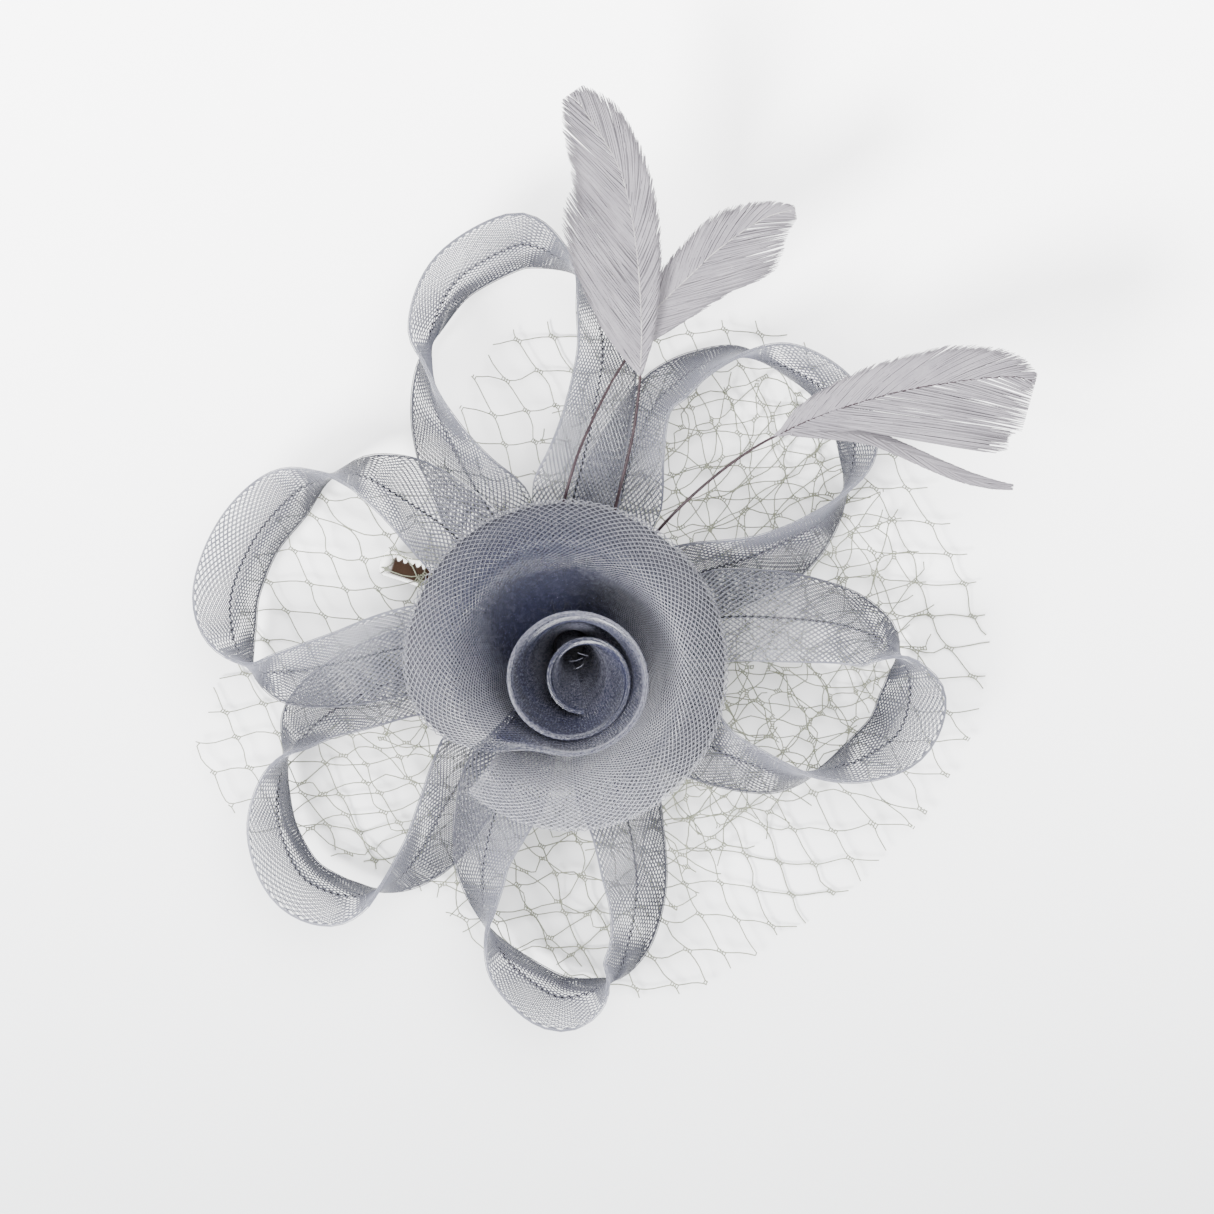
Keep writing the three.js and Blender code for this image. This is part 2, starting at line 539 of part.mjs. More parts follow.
// A plate with round ends seen from above, from one end to the other along the clip.
function plate(from, to, width, low, thickness) {
  const shape = new THREE.Shape();
  const corner = width / 2 - CLIP_CORNER;
  shape.moveTo(from, -corner);
  shape.lineTo(from + CLIP_CORNER, -width / 2);
  shape.lineTo(to - CLIP_NOSE_ROUND, -width / 2);
  shape.quadraticCurveTo(to, -width / 2, to, 0);
  shape.quadraticCurveTo(to, width / 2, to - CLIP_NOSE_ROUND, width / 2);
  shape.lineTo(from + CLIP_CORNER, width / 2);
  shape.lineTo(from, corner);
  shape.closePath();
  return new THREE.ExtrudeGeometry(shape, { depth: thickness, bevelEnabled: false, curveSegments: 4 })
    .translate(0, 0, low);
}

// A side ear with a hole for the pin and a round end below it, reaching up to a plate.
function ear(across, thickness, toHeight) {
  const radius = EAR_REACH - PIN_RADIUS;
  const outline = new THREE.Shape();
  outline.moveTo(-radius - EAR_FLARE, toHeight);
  outline.lineTo(-radius, 0);
  outline.absarc(0, 0, radius, Math.PI, 2 * Math.PI, false);
  outline.lineTo(radius + EAR_FLARE, toHeight);
  outline.closePath();
  const bore = new THREE.Path();
  bore.absarc(0, 0, PIN_RADIUS + GAP, 0, 2 * Math.PI, true);
  outline.holes.push(bore);
  return new THREE.ExtrudeGeometry(outline, { depth: thickness, bevelEnabled: false, curveSegments: 6 })
    .rotateX(Math.PI / 2).translate(0, across + thickness / 2, 0);
}

const PIN_HEIGHT = CLIP_TOP - CLIP_PLATE - PIN_DROP;

function clipTopJaw() {
  const low = CLIP_TOP - CLIP_PLATE - PIN_HEIGHT;
  const side = CLIP_WIDTH / 2 - CLIP_PLATE / 2;
  const into = low + CLIP_PLATE / 2;
  return geometryOf(solid(plate(-CLIP_HANDLE, CLIP_NOSE, CLIP_WIDTH, low, CLIP_PLATE))
    .add(solid(ear(side, CLIP_PLATE, into))).add(solid(ear(-side, CLIP_PLATE, into))));
}

function clipToothedJaw() {
  const top = -(PIN_RADIUS + GAP + JAW_UNDER_PIN);
  const width = JAW_WIDTH - 2 * GAP;
  const side = width / 2 - CLIP_PLATE / 2;
  const bottom = top - CLIP_PLATE;
  const handleTurn = Math.atan2(HANDLE_DROP, CLIP_HANDLE);
  const handle = plate(-CLIP_HANDLE, CLIP_CORNER, width, bottom, CLIP_PLATE)
    .translate(0, 0, -bottom - CLIP_PLATE / 2).rotateY(-handleTurn).translate(0, 0, bottom + CLIP_PLATE / 2);
  let jaw = solid(plate(-CLIP_CORNER, CLIP_NOSE, width, bottom, CLIP_PLATE)).add(solid(handle));
  for (const across of [side, -side]) {
    jaw = jaw.add(solid(ear(across, CLIP_PLATE, -bottom - CLIP_PLATE / 2).rotateX(Math.PI)));
  }
  const gum = CLIP_TOP - CLIP_PLATE - PIN_HEIGHT - GAP - TOOTH_HEIGHT;
  const start = CLIP_NOSE - TOOTH_SETBACK - TOOTH_COUNT * TOOTH_PITCH;
  const comb = new THREE.Shape();
  comb.moveTo(start - TOOTH_RUN_IN, bottom + CLIP_PLATE / 2);
  comb.lineTo(start, gum);
  for (let tooth = 0; tooth < TOOTH_COUNT; tooth++) {
    comb.lineTo(start + (tooth + 0.5) * TOOTH_PITCH, gum + TOOTH_HEIGHT);
    comb.lineTo(start + (tooth + 1) * TOOTH_PITCH, gum);
  }
  comb.lineTo(start + TOOTH_COUNT * TOOTH_PITCH + TOOTH_RUN_OUT, bottom + CLIP_PLATE / 2);
  comb.closePath();
  for (const across of [side, -side]) {
    const row = new THREE.ExtrudeGeometry(comb, { depth: CLIP_PLATE, bevelEnabled: false })
      .rotateX(Math.PI / 2).translate(0, across + CLIP_PLATE / 2, 0);
    jaw = jaw.add(solid(row));
  }
  return geometryOf(jaw);
}

function clipPinGeometry() {
  return new THREE.CylinderGeometry(PIN_RADIUS, PIN_RADIUS, CLIP_WIDTH + 2 * PIN_PROUD, 12);
}

function clipSpring() {
  const bore = PIN_RADIUS + GAP;
  const half = SPRING_LENGTH / 2;
  const profile = [[bore, -half], [SPRING_RADIUS, -half], [SPRING_RADIUS, half], [bore, half], [bore, -half]];
  return new THREE.LatheGeometry(profile.map(([r, h]) => new THREE.Vector2(r, h)), 16);
}

const fascinator = new THREE.Group();

function place(name, geometry, material, parent = fascinator) {
  const mesh = new THREE.Mesh(geometry, material);
  mesh.name = name;
  parent.add(mesh);
  return mesh;
}

const felt = new THREE.CylinderGeometry(FELT_RADIUS, FELT_RADIUS, FELT_THICKNESS, 40).rotateX(Math.PI / 2);
place("felt_base", felt, finish.felt).position.z = (FELT_BOTTOM + FELT_TOP) / 2;

const clip = new THREE.Group();
clip.position.set(CLIP_PIN.x, CLIP_PIN.y, PIN_HEIGHT);
clip.rotation.z = rad(CLIP_HEADING);
fascinator.add(clip);
place("clip_top_jaw", clipTopJaw(), finish.metal, clip);
place("clip_toothed_jaw", clipToothedJaw(), finish.metal, clip);
place("clip_pin", clipPinGeometry(), finish.metal, clip);
place("clip_spring", clipSpring(), finish.metal, clip);

place("veil", veil(), finish.net);
for (const [name, sizes] of Object.entries(LOOPS)) {
  place(name, loop(sizes), finish.braid);
}
place("rose", rose(), finish.rose);
for (const [name, sizes] of Object.entries(FEATHERS)) {
  place(name, feather(sizes), finish.feather);
}

// The origin goes under the middle of the outer box, on the surface that the object lies on.
fascinator.updateMatrixWorld(true);
const box = new THREE.Box3().setFromObject(fascinator, true);
const middle = box.getCenter(vec(0, 0));
fascinator.position.set(-middle.x, -middle.y, -box.min.z);

export default fascinator;
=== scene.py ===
"""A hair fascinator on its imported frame: crinoline braid, millinery net, feathers and a clip."""
import math

import bpy
import numpy as np
from bpy.props import FloatProperty, FloatVectorProperty, PointerProperty
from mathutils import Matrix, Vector


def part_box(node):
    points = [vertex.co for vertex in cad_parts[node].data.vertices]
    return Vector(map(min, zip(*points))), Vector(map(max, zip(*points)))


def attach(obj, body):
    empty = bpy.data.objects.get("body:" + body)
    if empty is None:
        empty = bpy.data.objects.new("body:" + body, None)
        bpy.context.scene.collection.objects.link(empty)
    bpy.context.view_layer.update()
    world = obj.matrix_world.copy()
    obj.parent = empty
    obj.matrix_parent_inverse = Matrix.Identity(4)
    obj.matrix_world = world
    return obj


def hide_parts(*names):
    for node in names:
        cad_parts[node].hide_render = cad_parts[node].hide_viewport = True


bl_info = {
    "name": "Fascinator",
    "version": (1, 0, 0),
    "blender": (4, 5, 0),
    "location": "3D View > Sidebar > Fascinator",
    "description": "Builds a crinoline fascinator and its studio on the packed frame",
    "category": "Add Mesh",
}

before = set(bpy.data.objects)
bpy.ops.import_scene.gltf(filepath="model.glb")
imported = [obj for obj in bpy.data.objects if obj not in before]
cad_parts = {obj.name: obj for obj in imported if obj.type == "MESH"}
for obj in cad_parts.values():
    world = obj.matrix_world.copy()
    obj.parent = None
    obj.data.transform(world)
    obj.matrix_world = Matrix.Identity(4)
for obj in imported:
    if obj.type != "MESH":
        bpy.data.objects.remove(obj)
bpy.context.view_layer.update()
MM = 0.001

# The heart, where everything is sewn on, is the middle of the felt base.
FELT_LOW, FELT_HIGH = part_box("felt_base")
HEART = (FELT_LOW + FELT_HIGH) / 2

FULL_TURN = 360

# Sizes of the solids, as in the model: millimetres, headings in degrees, and pinch, droop and slope
# as shares. The rose's foot grows by so much each turn.
FELT_RADIUS = 28
FELT_TOP = 11.3
GAP = 0.3
LAY = 0.9
CLIP_TOP = 9
CLIP_WIDTH = 7.5
CLIP_NOSE = 38
CLIP_HEADING = 162
CLIP_PIN_OUT = 25
CLIP_PIN_HEADING = 147.3
TOOTH_PITCH = 2
RIBBON_WIDTH = 28.5
RIBBON_WALL = 1.2
RIBBON_PINCH = 0.32
RIBBON_PINCHED_TO = 13
RIBBON_FULL_AT = 46
ROSE_WALL = 1.2
ROSE_FOOT_RADIUS = 3.2
ROSE_FOOT_GROWTH = 1.7
ROSE_RADIUS = 49
ROSE_HEIGHT = 44
FEATHER_RISE = 46
VANE_WALL = 1
VANE_DROOP = 0.16
VEIL_WALL = 1.2
VEIL_REACH = 128
VEIL_MARGIN = 5
VEIL_EDGE = FELT_RADIUS + VEIL_MARGIN
VEIL_DROP_TO = 84
VEIL_WAVE = 1.4
VEIL_WAVES = 8
VEIL_TENT_SLOPE = 0.5
VEIL_CROWN = FELT_TOP + GAP + VEIL_WALL / 2
LOOP_REST = VEIL_CROWN + VEIL_WALL / 2 + GAP + RIBBON_WALL / 2
STEM_REST = LOOP_REST + 2 * (RIBBON_WALL + GAP) + VANE_WALL / 2

# Samples along a band, across it and along a shaft on which their lengths are measured, and the
# share of a loop's way over which its direction is read
BAND_SAMPLES = 600
SECTION_SAMPLES = 120
SHAFT_SAMPLES = 400
HEADING_STEP = 0.01

# Loops: out and side place the middle thread, as shares of the loop's reach and spread. top and
# bottom are how far the braid's two halves lean from lying flat, in degrees, past 90 where the
# upper edge leans outwards. lift raises the lower edge, as a share of the ribbon's width.
LOOP_COLUMNS = ["out", "side", "top", "bottom", "lift"]
LOOPS = {
    "loop_top": {
        "heading": 97.9, "reach": 120, "spread": 30,
        "rows": [
            [0.12, -0.08, 0, 0, 0.055], [0.22, -0.12, 4, 4, 0.1], [0.34, -0.23, 12, 16, 0.24],
            [0.45, -0.4, 38, 36, 0.35], [0.56, -0.56, 50, 40, 0.34], [0.71, -0.74, 56, 50, 0.18],
            [0.83, -0.72, 66, 76, 0.05], [0.93, -0.57, 90, 92, 0], [1, -0.18, 124, 113, 0],
            [1, 0.1, 134, 115, 0], [0.94, 0.62, 131, 110, 0], [0.83, 0.93, 120, 96, 0],
            [0.75, 1, 98, 74, 0],
            [0.64, 1.02, 77, 59, 0], [0.54, 0.92, 64, 42, 0], [0.45, 0.79, 48, 36, 0],
            [0.35, 0.62, 18, 20, 0], [0.22, 0.38, 4, 6, 0], [0.11, 0.2, 0, 0, 0],
        ],
    },
    "loop_upper_right": {
        "heading": 38.7, "reach": 107, "spread": 42,
        "rows": [
            [0.13, -0.06, 0, 0, 0], [0.22, -0.08, 8, 6, 0], [0.33, -0.12, 24, 12, 0],
            [0.42, -0.2, 48, 22, 0],
            [0.55, -0.33, 64, 32, 0], [0.66, -0.4, 72, 42, 0], [0.76, -0.44, 75, 66, 0],
            [0.87, -0.37, 92, 86, 0], [0.95, -0.22, 115, 103, 0], [1, 0, 122, 107, 0],
            [1, 0.3, 125, 100, 0],
            [0.95, 0.62, 118, 92, 0], [0.88, 0.86, 88, 78, 0], [0.78, 0.98, 73, 71, 0],
            [0.69, 1, 66, 62, 0],
            [0.6, 0.97, 66, 58, 0], [0.47, 0.8, 44, 44, 0], [0.35, 0.58, 18, 20, 0], [0.22, 0.35, 4, 5, 0],
            [0.11, 0.17, 0, 0, 0],
        ],
    },
    "loop_right": {
        "heading": -9.2, "reach": 103, "spread": 27,
        "rows": [
            [0.12, -0.24, 0, 0, 0.055], [0.21, -0.42, 4, 4, 0.07], [0.33, -0.66, 26, 22, 0.08],
            [0.47, -0.91, 56, 44, 0.06], [0.6, -1.02, 68, 57, 0.02], [0.68, -1.03, 78, 68, 0],
            [0.77, -0.96, 96, 88, 0], [0.88, -0.75, 119, 112, 0], [0.98, -0.4, 138, 126, 0],
            [1, 0, 142, 124, 0], [0.985, 0.28, 116, 112, 0], [0.955, 0.47, 88, 90, 0],
            [0.9, 0.62, 52, 66, 0.05], [0.82, 0.7, 36, 50, 0.12], [0.74, 0.73, 27, 40, 0.18],
            [0.6, 0.7, 14, 24, 0.3], [0.46, 0.63, 10, 18, 0.3], [0.33, 0.5, 8, 10, 0.22],
            [0.21, 0.32, 2, 3, 0.1], [0.125, 0.19, 0, 0, 0.055],
        ],
    },
    "loop_bottom": {
        "heading": -91.3, "reach": 105, "spread": 24.5,
        "rows": [
            [0.12, -0.22, 0, 0, 0.055], [0.22, -0.4, 4, 4, 0.1], [0.33, -0.62, 10, 16, 0.22],
            [0.45, -0.85, 24, 32, 0.28], [0.6, -1, 52, 50, 0.2], [0.69, -1.02, 62, 64, 0.1],
            [0.78, -0.98, 78, 82, 0], [0.84, -0.88, 98, 92, 0], [0.92, -0.6, 124, 104, 0],
            [1, -0.12, 135, 112, 0], [1, 0.2, 128, 106, 0], [0.975, 0.48, 104, 96, 0],
            [0.94, 0.68, 70, 82, 0], [0.86, 0.81, 66, 66, 0], [0.77, 0.88, 58, 58, 0],
            [0.66, 0.9, 42, 53, 0], [0.5, 0.78, 32, 46, 0], [0.35, 0.55, 14, 24, 0], [0.22, 0.35, 4, 5, 0],
            [0.12, 0.18, 0, 0, 0],
        ],
    },
    "loop_lower_left": {
        "heading": -137.3, "reach": 106, "spread": 34,
        "rows": [
            [0.11, -0.22, 0, 0, 0], [0.2, -0.4, 4, 4, 0], [0.31, -0.62, 16, 10, 0], [0.41, -0.8, 30, 16, 0],
            [0.53, -0.94, 40, 22, 0], [0.65, -1.02, 58, 34, 0], [0.74, -1.01, 74, 54, 0],
            [0.81, -0.97, 94, 87, 0], [0.88, -0.82, 115, 98, 0], [0.96, -0.52, 134, 106, 0],
            [1, -0.12, 142, 111, 0], [0.97, 0.18, 136, 108, 0], [0.92, 0.36, 112, 100, 0],
            [0.86, 0.46, 86, 84, 0], [0.78, 0.5, 70, 66, 0], [0.69, 0.44, 65, 44, 0],
            [0.58, 0.32, 56, 32, 0],
            [0.44, 0.2, 36, 20, 0], [0.33, 0.13, 16, 12, 0], [0.22, 0.08, 4, 5, 0], [0.12, 0.045, 0, 0, 0],
        ],
    },
    "loop_left": {
        "heading": 170.7, "reach": 102.5, "spread": 40,
        "rows": [
            [0.11, -0.19, 0, 0, 0.055], [0.2, -0.35, 3, 3, 0.1], [0.3, -0.53, 14, 10, 0.24],
            [0.42, -0.74, 28, 20, 0.3], [0.56, -0.9, 54, 30, 0.24], [0.66, -1, 64, 58, 0.1],
            [0.73, -1, 76, 80, 0.02], [0.8, -0.93, 98, 96, 0], [0.88, -0.74, 134, 116, 0],
            [0.96, -0.4, 148, 118, 0], [1, 0, 146, 120, 0], [0.985, 0.28, 130, 116, 0],
            [0.95, 0.47, 102, 104, 0], [0.9, 0.58, 78, 84, 0.04], [0.81, 0.56, 62, 50, 0.23],
            [0.65, 0.42, 47, 28, 0.34], [0.5, 0.26, 32, 18, 0.32], [0.36, 0.16, 16, 10, 0.28],
            [0.22, 0.1, 4, 4, 0.12], [0.13, 0.06, 0, 0, 0.055],
        ],
    },
}

# A loop's middle among its section's points, the filaments along each edge and the dark thread's sides
LOOP_MIDDLE = 1
EDGE_FILAMENTS = 3
THREAD_SIDES = 5

# Rose: angle in degrees from the inner end to the outer one, and shares of the named sizes. rim is
# the radius of the band's upper edge, crest that of its fold, waist that of its wall lower down.
# east and north shift the rim's centre.
ROSE_COLUMNS = ["angle", "rim", "rimRise", "crest", "crestRise", "waist", "east", "north"]
ROSE_ROWS = [
    [990, 0.2, 0.76, 0.18, 0.69, 0.1, 0.09, -0.21],
    [900, 0.22, 0.78, 0.2, 0.71, 0.13, 0.09, -0.21],
    [810, 0.25, 0.81, 0.23, 0.74, 0.16, 0.09, -0.21],
    [720, 0.28, 0.85, 0.26, 0.78, 0.19, 0.08, -0.21],
    [660, 0.31, 0.88, 0.29, 0.81, 0.21, 0.07, -0.22],
    [600, 0.37, 0.93, 0.35, 0.86, 0.24, 0.05, -0.22],
    [540, 0.41, 0.97, 0.39, 0.9, 0.27, 0.04, -0.22],
    [480, 0.42, 0.99, 0.4, 0.92, 0.28, 0.04, -0.22],
    [420, 0.42, 1, 0.4, 0.93, 0.29, 0.04, -0.22],
    [360, 0.43, 1, 0.41, 0.93, 0.3, 0.04, -0.22],
    [330, 0.43, 1, 0.41, 0.93, 0.3, 0.04, -0.22],
    [275, 0.44, 0.98, 0.42, 0.92, 0.31, 0.03, -0.22],
    [240, 0.5, 0.92, 0.45, 0.88, 0.33, 0.01, -0.2],
    [218, 0.76, 0.76, 0.56, 0.82, 0.36, -0.01, -0.16],
    [195, 0.96, 0.64, 0.65, 0.8, 0.39, -0.03, -0.13],
    [150, 1, 0.6, 0.68, 0.82, 0.43, -0.03, -0.11],
    [95, 1, 0.6, 0.69, 0.84, 0.46, -0.03, -0.11],
    [45, 1, 0.58, 0.7, 0.82, 0.48, -0.03, -0.12],
    [0, 1, 0.54, 0.71, 0.76, 0.5, -0.03, -0.13],
    [-45, 1.01, 0.5, 0.73, 0.68, 0.52, -0.03, -0.14],
    [-90, 1, 0.5, 0.74, 0.64, 0.54, -0.03, -0.14],
    [-128, 0.96, 0.52, 0.74, 0.6, 0.55, -0.03, -0.14],
]

# The band's section from foot to rim: two named radii and a share of the way between them, the
# height as a share of the crest's, and how far that falls to the rim's height. The fifth is its crest.
ROSE_SECTION = [
    ("foot", "foot", 0, 0, 0),
    ("foot", "waist", 0.25, 0.25, 0),
    ("waist", "waist", 0, 0.62, 0),
    ("waist", "crest", 0.6, 0.88, 0),
    ("crest", "rim", 0.12, 1, 0),
    ("crest", "rim", 0.6, 1, 0.45),
    ("rim", "rim", 0, 1, 1),
]
ROSE_CREST = 4

# Feathers: east and north place the shaft and left and right are the vane's widths on each side
# of it, all as shares of the feather's length. rise is a share of the feathers' rise.
FEATHER_COLUMNS = ["east", "north", "rise", "left", "right"]
FEATHERS = {
    "feather_tall": {
        "length": 165, "shaft": "shaft",
        "rows": [
            [0.04, 0.085, 0, 0, 0], [0.062, 0.16, 0.1, 0, 0], [0.08, 0.24, 0.2, 0, 0],
            [0.1, 0.32, 0.28, 0, 0], [0.115, 0.385, 0.33, 0, 0], [0.124, 0.45, 0.38, 0, 0],
            [0.128, 0.5, 0.43, 0.006, 0.006], [0.13, 0.56, 0.5, 0.06, 0.022],
            [0.128, 0.62, 0.58, 0.088, 0.032], [0.124, 0.68, 0.66, 0.108, 0.04],
            [0.117, 0.74, 0.74, 0.12, 0.046], [0.106, 0.8, 0.81, 0.117, 0.048],
            [0.09, 0.855, 0.87, 0.092, 0.05], [0.066, 0.9, 0.92, 0.074, 0.052],
            [0.034, 0.948, 0.96, 0.054, 0.05], [0.004, 0.99, 1, 0.022, 0.024],
        ],
    },
    "feather_short": {
        "length": 145, "shaft": "shaft",
        "rows": [
            [-0.03, 0.1, 0, 0, 0], [-0.03, 0.19, 0.12, 0, 0], [-0.016, 0.28, 0.3, 0, 0],
            [0.012, 0.38, 0.4, 0, 0], [0.045, 0.46, 0.41, 0, 0], [0.085, 0.54, 0.41, 0, 0],
            [0.122, 0.6, 0.41, 0, 0], [0.158, 0.665, 0.43, 0.03, 0.04], [0.2, 0.715, 0.47, 0.046, 0.06],
            [0.248, 0.76, 0.53, 0.054, 0.072], [0.29, 0.8, 0.6, 0.058, 0.084],
            [0.332, 0.832, 0.67, 0.062, 0.096], [0.376, 0.862, 0.74, 0.048, 0.096],
            [0.42, 0.882, 0.8, 0.028, 0.066], [0.462, 0.89, 0.84, 0.01, 0.02],
        ],
    },
    "feather_right": {
        "length": 165, "shaft": "stem",
        "rows": [
            [0.06, 0.075, -0.04, 0, 0], [0.1, 0.13, 0.06, 0, 0], [0.145, 0.19, 0.22, 0, 0],
            [0.19, 0.24, 0.32, 0, 0], [0.238, 0.285, 0.4, 0, 0], [0.29, 0.327, 0.46, 0, 0],
            [0.342, 0.362, 0.52, 0, 0], [0.385, 0.384, 0.56, 0.008, 0.006], [0.43, 0.405, 0.6, 0.032, 0.02],
            [0.49, 0.427, 0.66, 0.046, 0.04], [0.555, 0.447, 0.72, 0.056, 0.058],
            [0.62, 0.462, 0.78, 0.06, 0.082], [0.69, 0.473, 0.84, 0.064, 0.108],
            [0.75, 0.48, 0.9, 0.056, 0.128], [0.8, 0.481, 0.95, 0.04, 0.12], [0.835, 0.472, 1, 0.014, 0.09],
        ],
        "split": [
            [0.4, 0.384, 0.57, 0.006, 0.006], [0.46, 0.385, 0.58, 0.012, 0.012],
            [0.54, 0.377, 0.58, 0.012, 0.014], [0.6, 0.354, 0.58, 0.012, 0.014],
            [0.655, 0.328, 0.58, 0.013, 0.013], [0.71, 0.304, 0.6, 0.013, 0.011],
            [0.76, 0.29, 0.63, 0.01, 0.008], [0.8, 0.285, 0.66, 0.005, 0.005],
        ],
    },
}

# Barbs, in millimetres. A vane begins where it is wider than the least width, and its first barbs
# root up to a little before that. Barbs are drawn together into clumps by a share, and each clump
# and each barb is shifted by chance. Reach and bend are shares of the vane's width and droop one of
# the vane's droop. Towards the tip they sweep more. Their girths run from root to end.
BARB_LEAST = 0.8
BARB_ROOTS = 2
BARBS_IN_CLUMP = 7
CLUMP_PULL = 0.12
CLUMP_SHIFT = 0.1
BARB_SHIFT = 0.16
BARB_SCATTER = 0.2
BARB_SHORTEST = 0.3
BARB_REACH = (0.88, 1.06)
BARB_BEND = 0.62
BARB_BEND_DROOP = 0.5
BARB_TIP_SWEEP = 1.2
BARB_SWEEP_POWER = 4
BARB_GIRTHS = [1, 1.1, 1.1, 1.05, 0.95, 0.3]
SPLIT_SWEEP = 5
FEATHER_SEED = 7

# Shafts: points and sides, their girth at the tip and over the vane as shares of the quill's, and
# their height above the vane's middle
SHAFT_POINTS = 90
SHAFT_SIDES = 8
SHAFT_TIP = 0.3
SHAFT_SHARE = 0.7
SHAFT_RISE = 0.3

# Veil: how far the net reaches at each heading, as a share of its full reach.
VEIL_OUTLINE = [
    [0, 1], [15, 0.96], [30, 0.9], [45, 0.92], [60, 0.9], [75, 0.79], [90, 0.8], [105, 0.74],
    [120, 0.56], [135, 0.5], [150, 0.74], [165, 0.78], [180, 0.8], [195, 0.92], [210, 0.88], [225, 0.72],
    [240, 0.68], [255, 0.76], [270, 0.8], [285, 0.88], [300, 0.86], [315, 0.87], [330, 0.92], [345, 0.97],
]

# Net: half the angle between its threads, how much closer its cells are at the heart, the rungs of
# a ladder and their reach past its threads, how high a fold stands, by what share it draws the net
# in, over what lengths the net is pulled to and fro and ripples, how far its knots are scattered, as
# a share of a cell, how slack its threads are, as a share of the pull, the spare cells past its reach
# and the hole at the heart.
NET_SLANT = math.radians(32)
NET_GATHER = 0.15
NET_RUNGS = 4
NET_RUNG_REACH = 1.15
NET_FOLD_RISE = 2.5
NET_DRAWN = 0.8
NET_PULL_WAVE = 7
NET_RIPPLES = (9, 13)
NET_SCATTER = 0.05
NET_SLACK = 0.25
NET_SPARE = 3
NET_HOLE = 13

# Layers of net: a turn in degrees, the reach as a share of the veil's, the middle from the heart, the
# rise, how far it is pulled out of true, a seed, and folds of heading in degrees, start, end and width
NET_LAYERS = [
    (-32, 1.0, (0, 0), 0.0, 1.2, 3,
     [(-27, 34, 132, 9), (15, 40, 110, 6), (152, 40, 112, 8), (-115, 40, 100, 7)]),
    (25, 0.74, (16, 10), 0.6, 3.2, 5, [(-60, 30, 90, 8), (70, 30, 90, 8)]),
    (70, 0.66, (20, 14), 1.1, 3.2, 8, []),
    (-5, 0.64, (-18, -30), 1.1, 3.2, 9, []),
]

# Loose ends of the rose's braid: how much they spread and bend, the shortest as a share of the
# longest and their girth as a share of a filament's. Then how many, the corners of the box that they
# start in, the way that they lean, the longest and the material.
LOOSE_SPREAD = 0.35
LOOSE_BEND = (1, 1, 0.2)
LOOSE_SHORTEST = 0.4
LOOSE_GIRTH = 0.7
LOOSE_POINTS = 5
LOOSE_SEED = 11
LOOSE_ENDS = [
    ("loose_ends_behind", 26, (-6, 9, 36), (5, 12, 39), (0, 0.5, 1), 4, "thread"),
    ("loose_ends_inside", 12, (1, -6, 38), (9, -1, 41), (-0.8, -0.5, 0.5), 6, "thread"),
    ("loose_ends_pale", 3, (2, -6, 40), (7, -3, 42), (-1, -0.4, 0.3), 6, "loop_braid"),
]

# The rose is woven in two pieces that meet at a share of its way. From another share on its lining
# opens, up to its openness at the end, and at a third share the band's width is measured. The
# lining's thickness is in millimetres, and its grid has every second row of the filaments'.
ROSE_CUT = 0.5
ROSE_OPENS_AT = 0.74
ROSE_OPENNESS = 0.8
ROSE_WIDTH_AT = 0.7
LINING = 0.2
LINING_STEP = 2

# Places in metres between which the braid turns from dark to pale: painted shade and light by heights on
# the loops, distances from the middles of the funnel and of the tube, and heights on the funnel's wall, in
# the tube and at its rim, and places north of the origin on the ring's lobe, which is paler by its gain.
# The tube's bottom is paler by its share.
LOOP_SHADED = (0.007, 0.032)
FUNNEL_MIDDLE = (-0.0075, 0.009)
FUNNEL_SHADED = (0.015, 0.041)
FUNNEL_WALL = (0.02, 0.035)
TUBE_MIDDLE = (0.003, -0.0103)
TUBE_SHADED = (0.009, 0.017)
TUBE_DEPTH = (0.032, 0.047)
TUBE_RIM = (0.05, 0.062)
TUBE_BOTTOM = 0.45
LOBE_PLACE = (-0.056, -0.078)
LOBE_GAIN = 1.5

# The lining's weave: between which values of its wave a thread starts and is full, how much it
# covers between threads and how much a thread adds
WEAVE_THREAD = (0.62, 0.9)
WEAVE_COVER = 0.45
WEAVE_THREAD_COVER = 0.5

# The clip's painted reflections: where its colour turns bright towards the rim and the teeth, and how deep
# these are, as shares of half the clip's width, and how far before the nose's end it does, in millimetres
CLIP_RIM_GLINT = (0.66, 0.92)
CLIP_TEETH_GLINT = (0.72, 0.86)
CLIP_TOOTH_DEPTH = 0.35
CLIP_NOSE_GLINT = (4, 1)

# Plain finishes: the material's name, its grain's scale and detail, the grain's dark and pale
# colours, roughness, shine, and the strength and the depth in metres of the relief, if it has one
FINISHES = {
    "thread": ("dark_thread", 1400, 1, [(0.003, 0.003, 0.004), (0.01, 0.01, 0.012)], 0.8, 0.1,
               (0.6, 0.0002)),
    "stem": ("feather_stem", 500, 2, [(0.006, 0.004, 0.005), (0.026, 0.016, 0.019)], 0.4, 0.1),
    "shaft": ("feather_shaft", 500, 2, [(0.13, 0.12, 0.125), (0.26, 0.245, 0.24)], 0.4, 0.3),
    "felt": ("felt", 1800, 4, [(0.02, 0.02, 0.024), (0.045, 0.045, 0.05)], 0.95, 0.1, (0.7, 0.0006)),
}
SOLID_FINISHES = {
    "felt_base": "felt", "clip_top_jaw": "chrome", "clip_toothed_jaw": "chrome", "clip_pin": "chrome",
    "clip_spring": "chrome",
}

# Stage: half the floor's width, and the lamps' places, widths and powers
FLOOR_REACH = 4.0
LAMPS = {
    "light_left": ((-1.1, -0.9, 1.5), 0.8, 190),
    "light_above": ((0.5, 0.7, 2.0), 1.6, 110),
}


# Reading of the tables and of the surfaces they describe, in millimetres from the heart

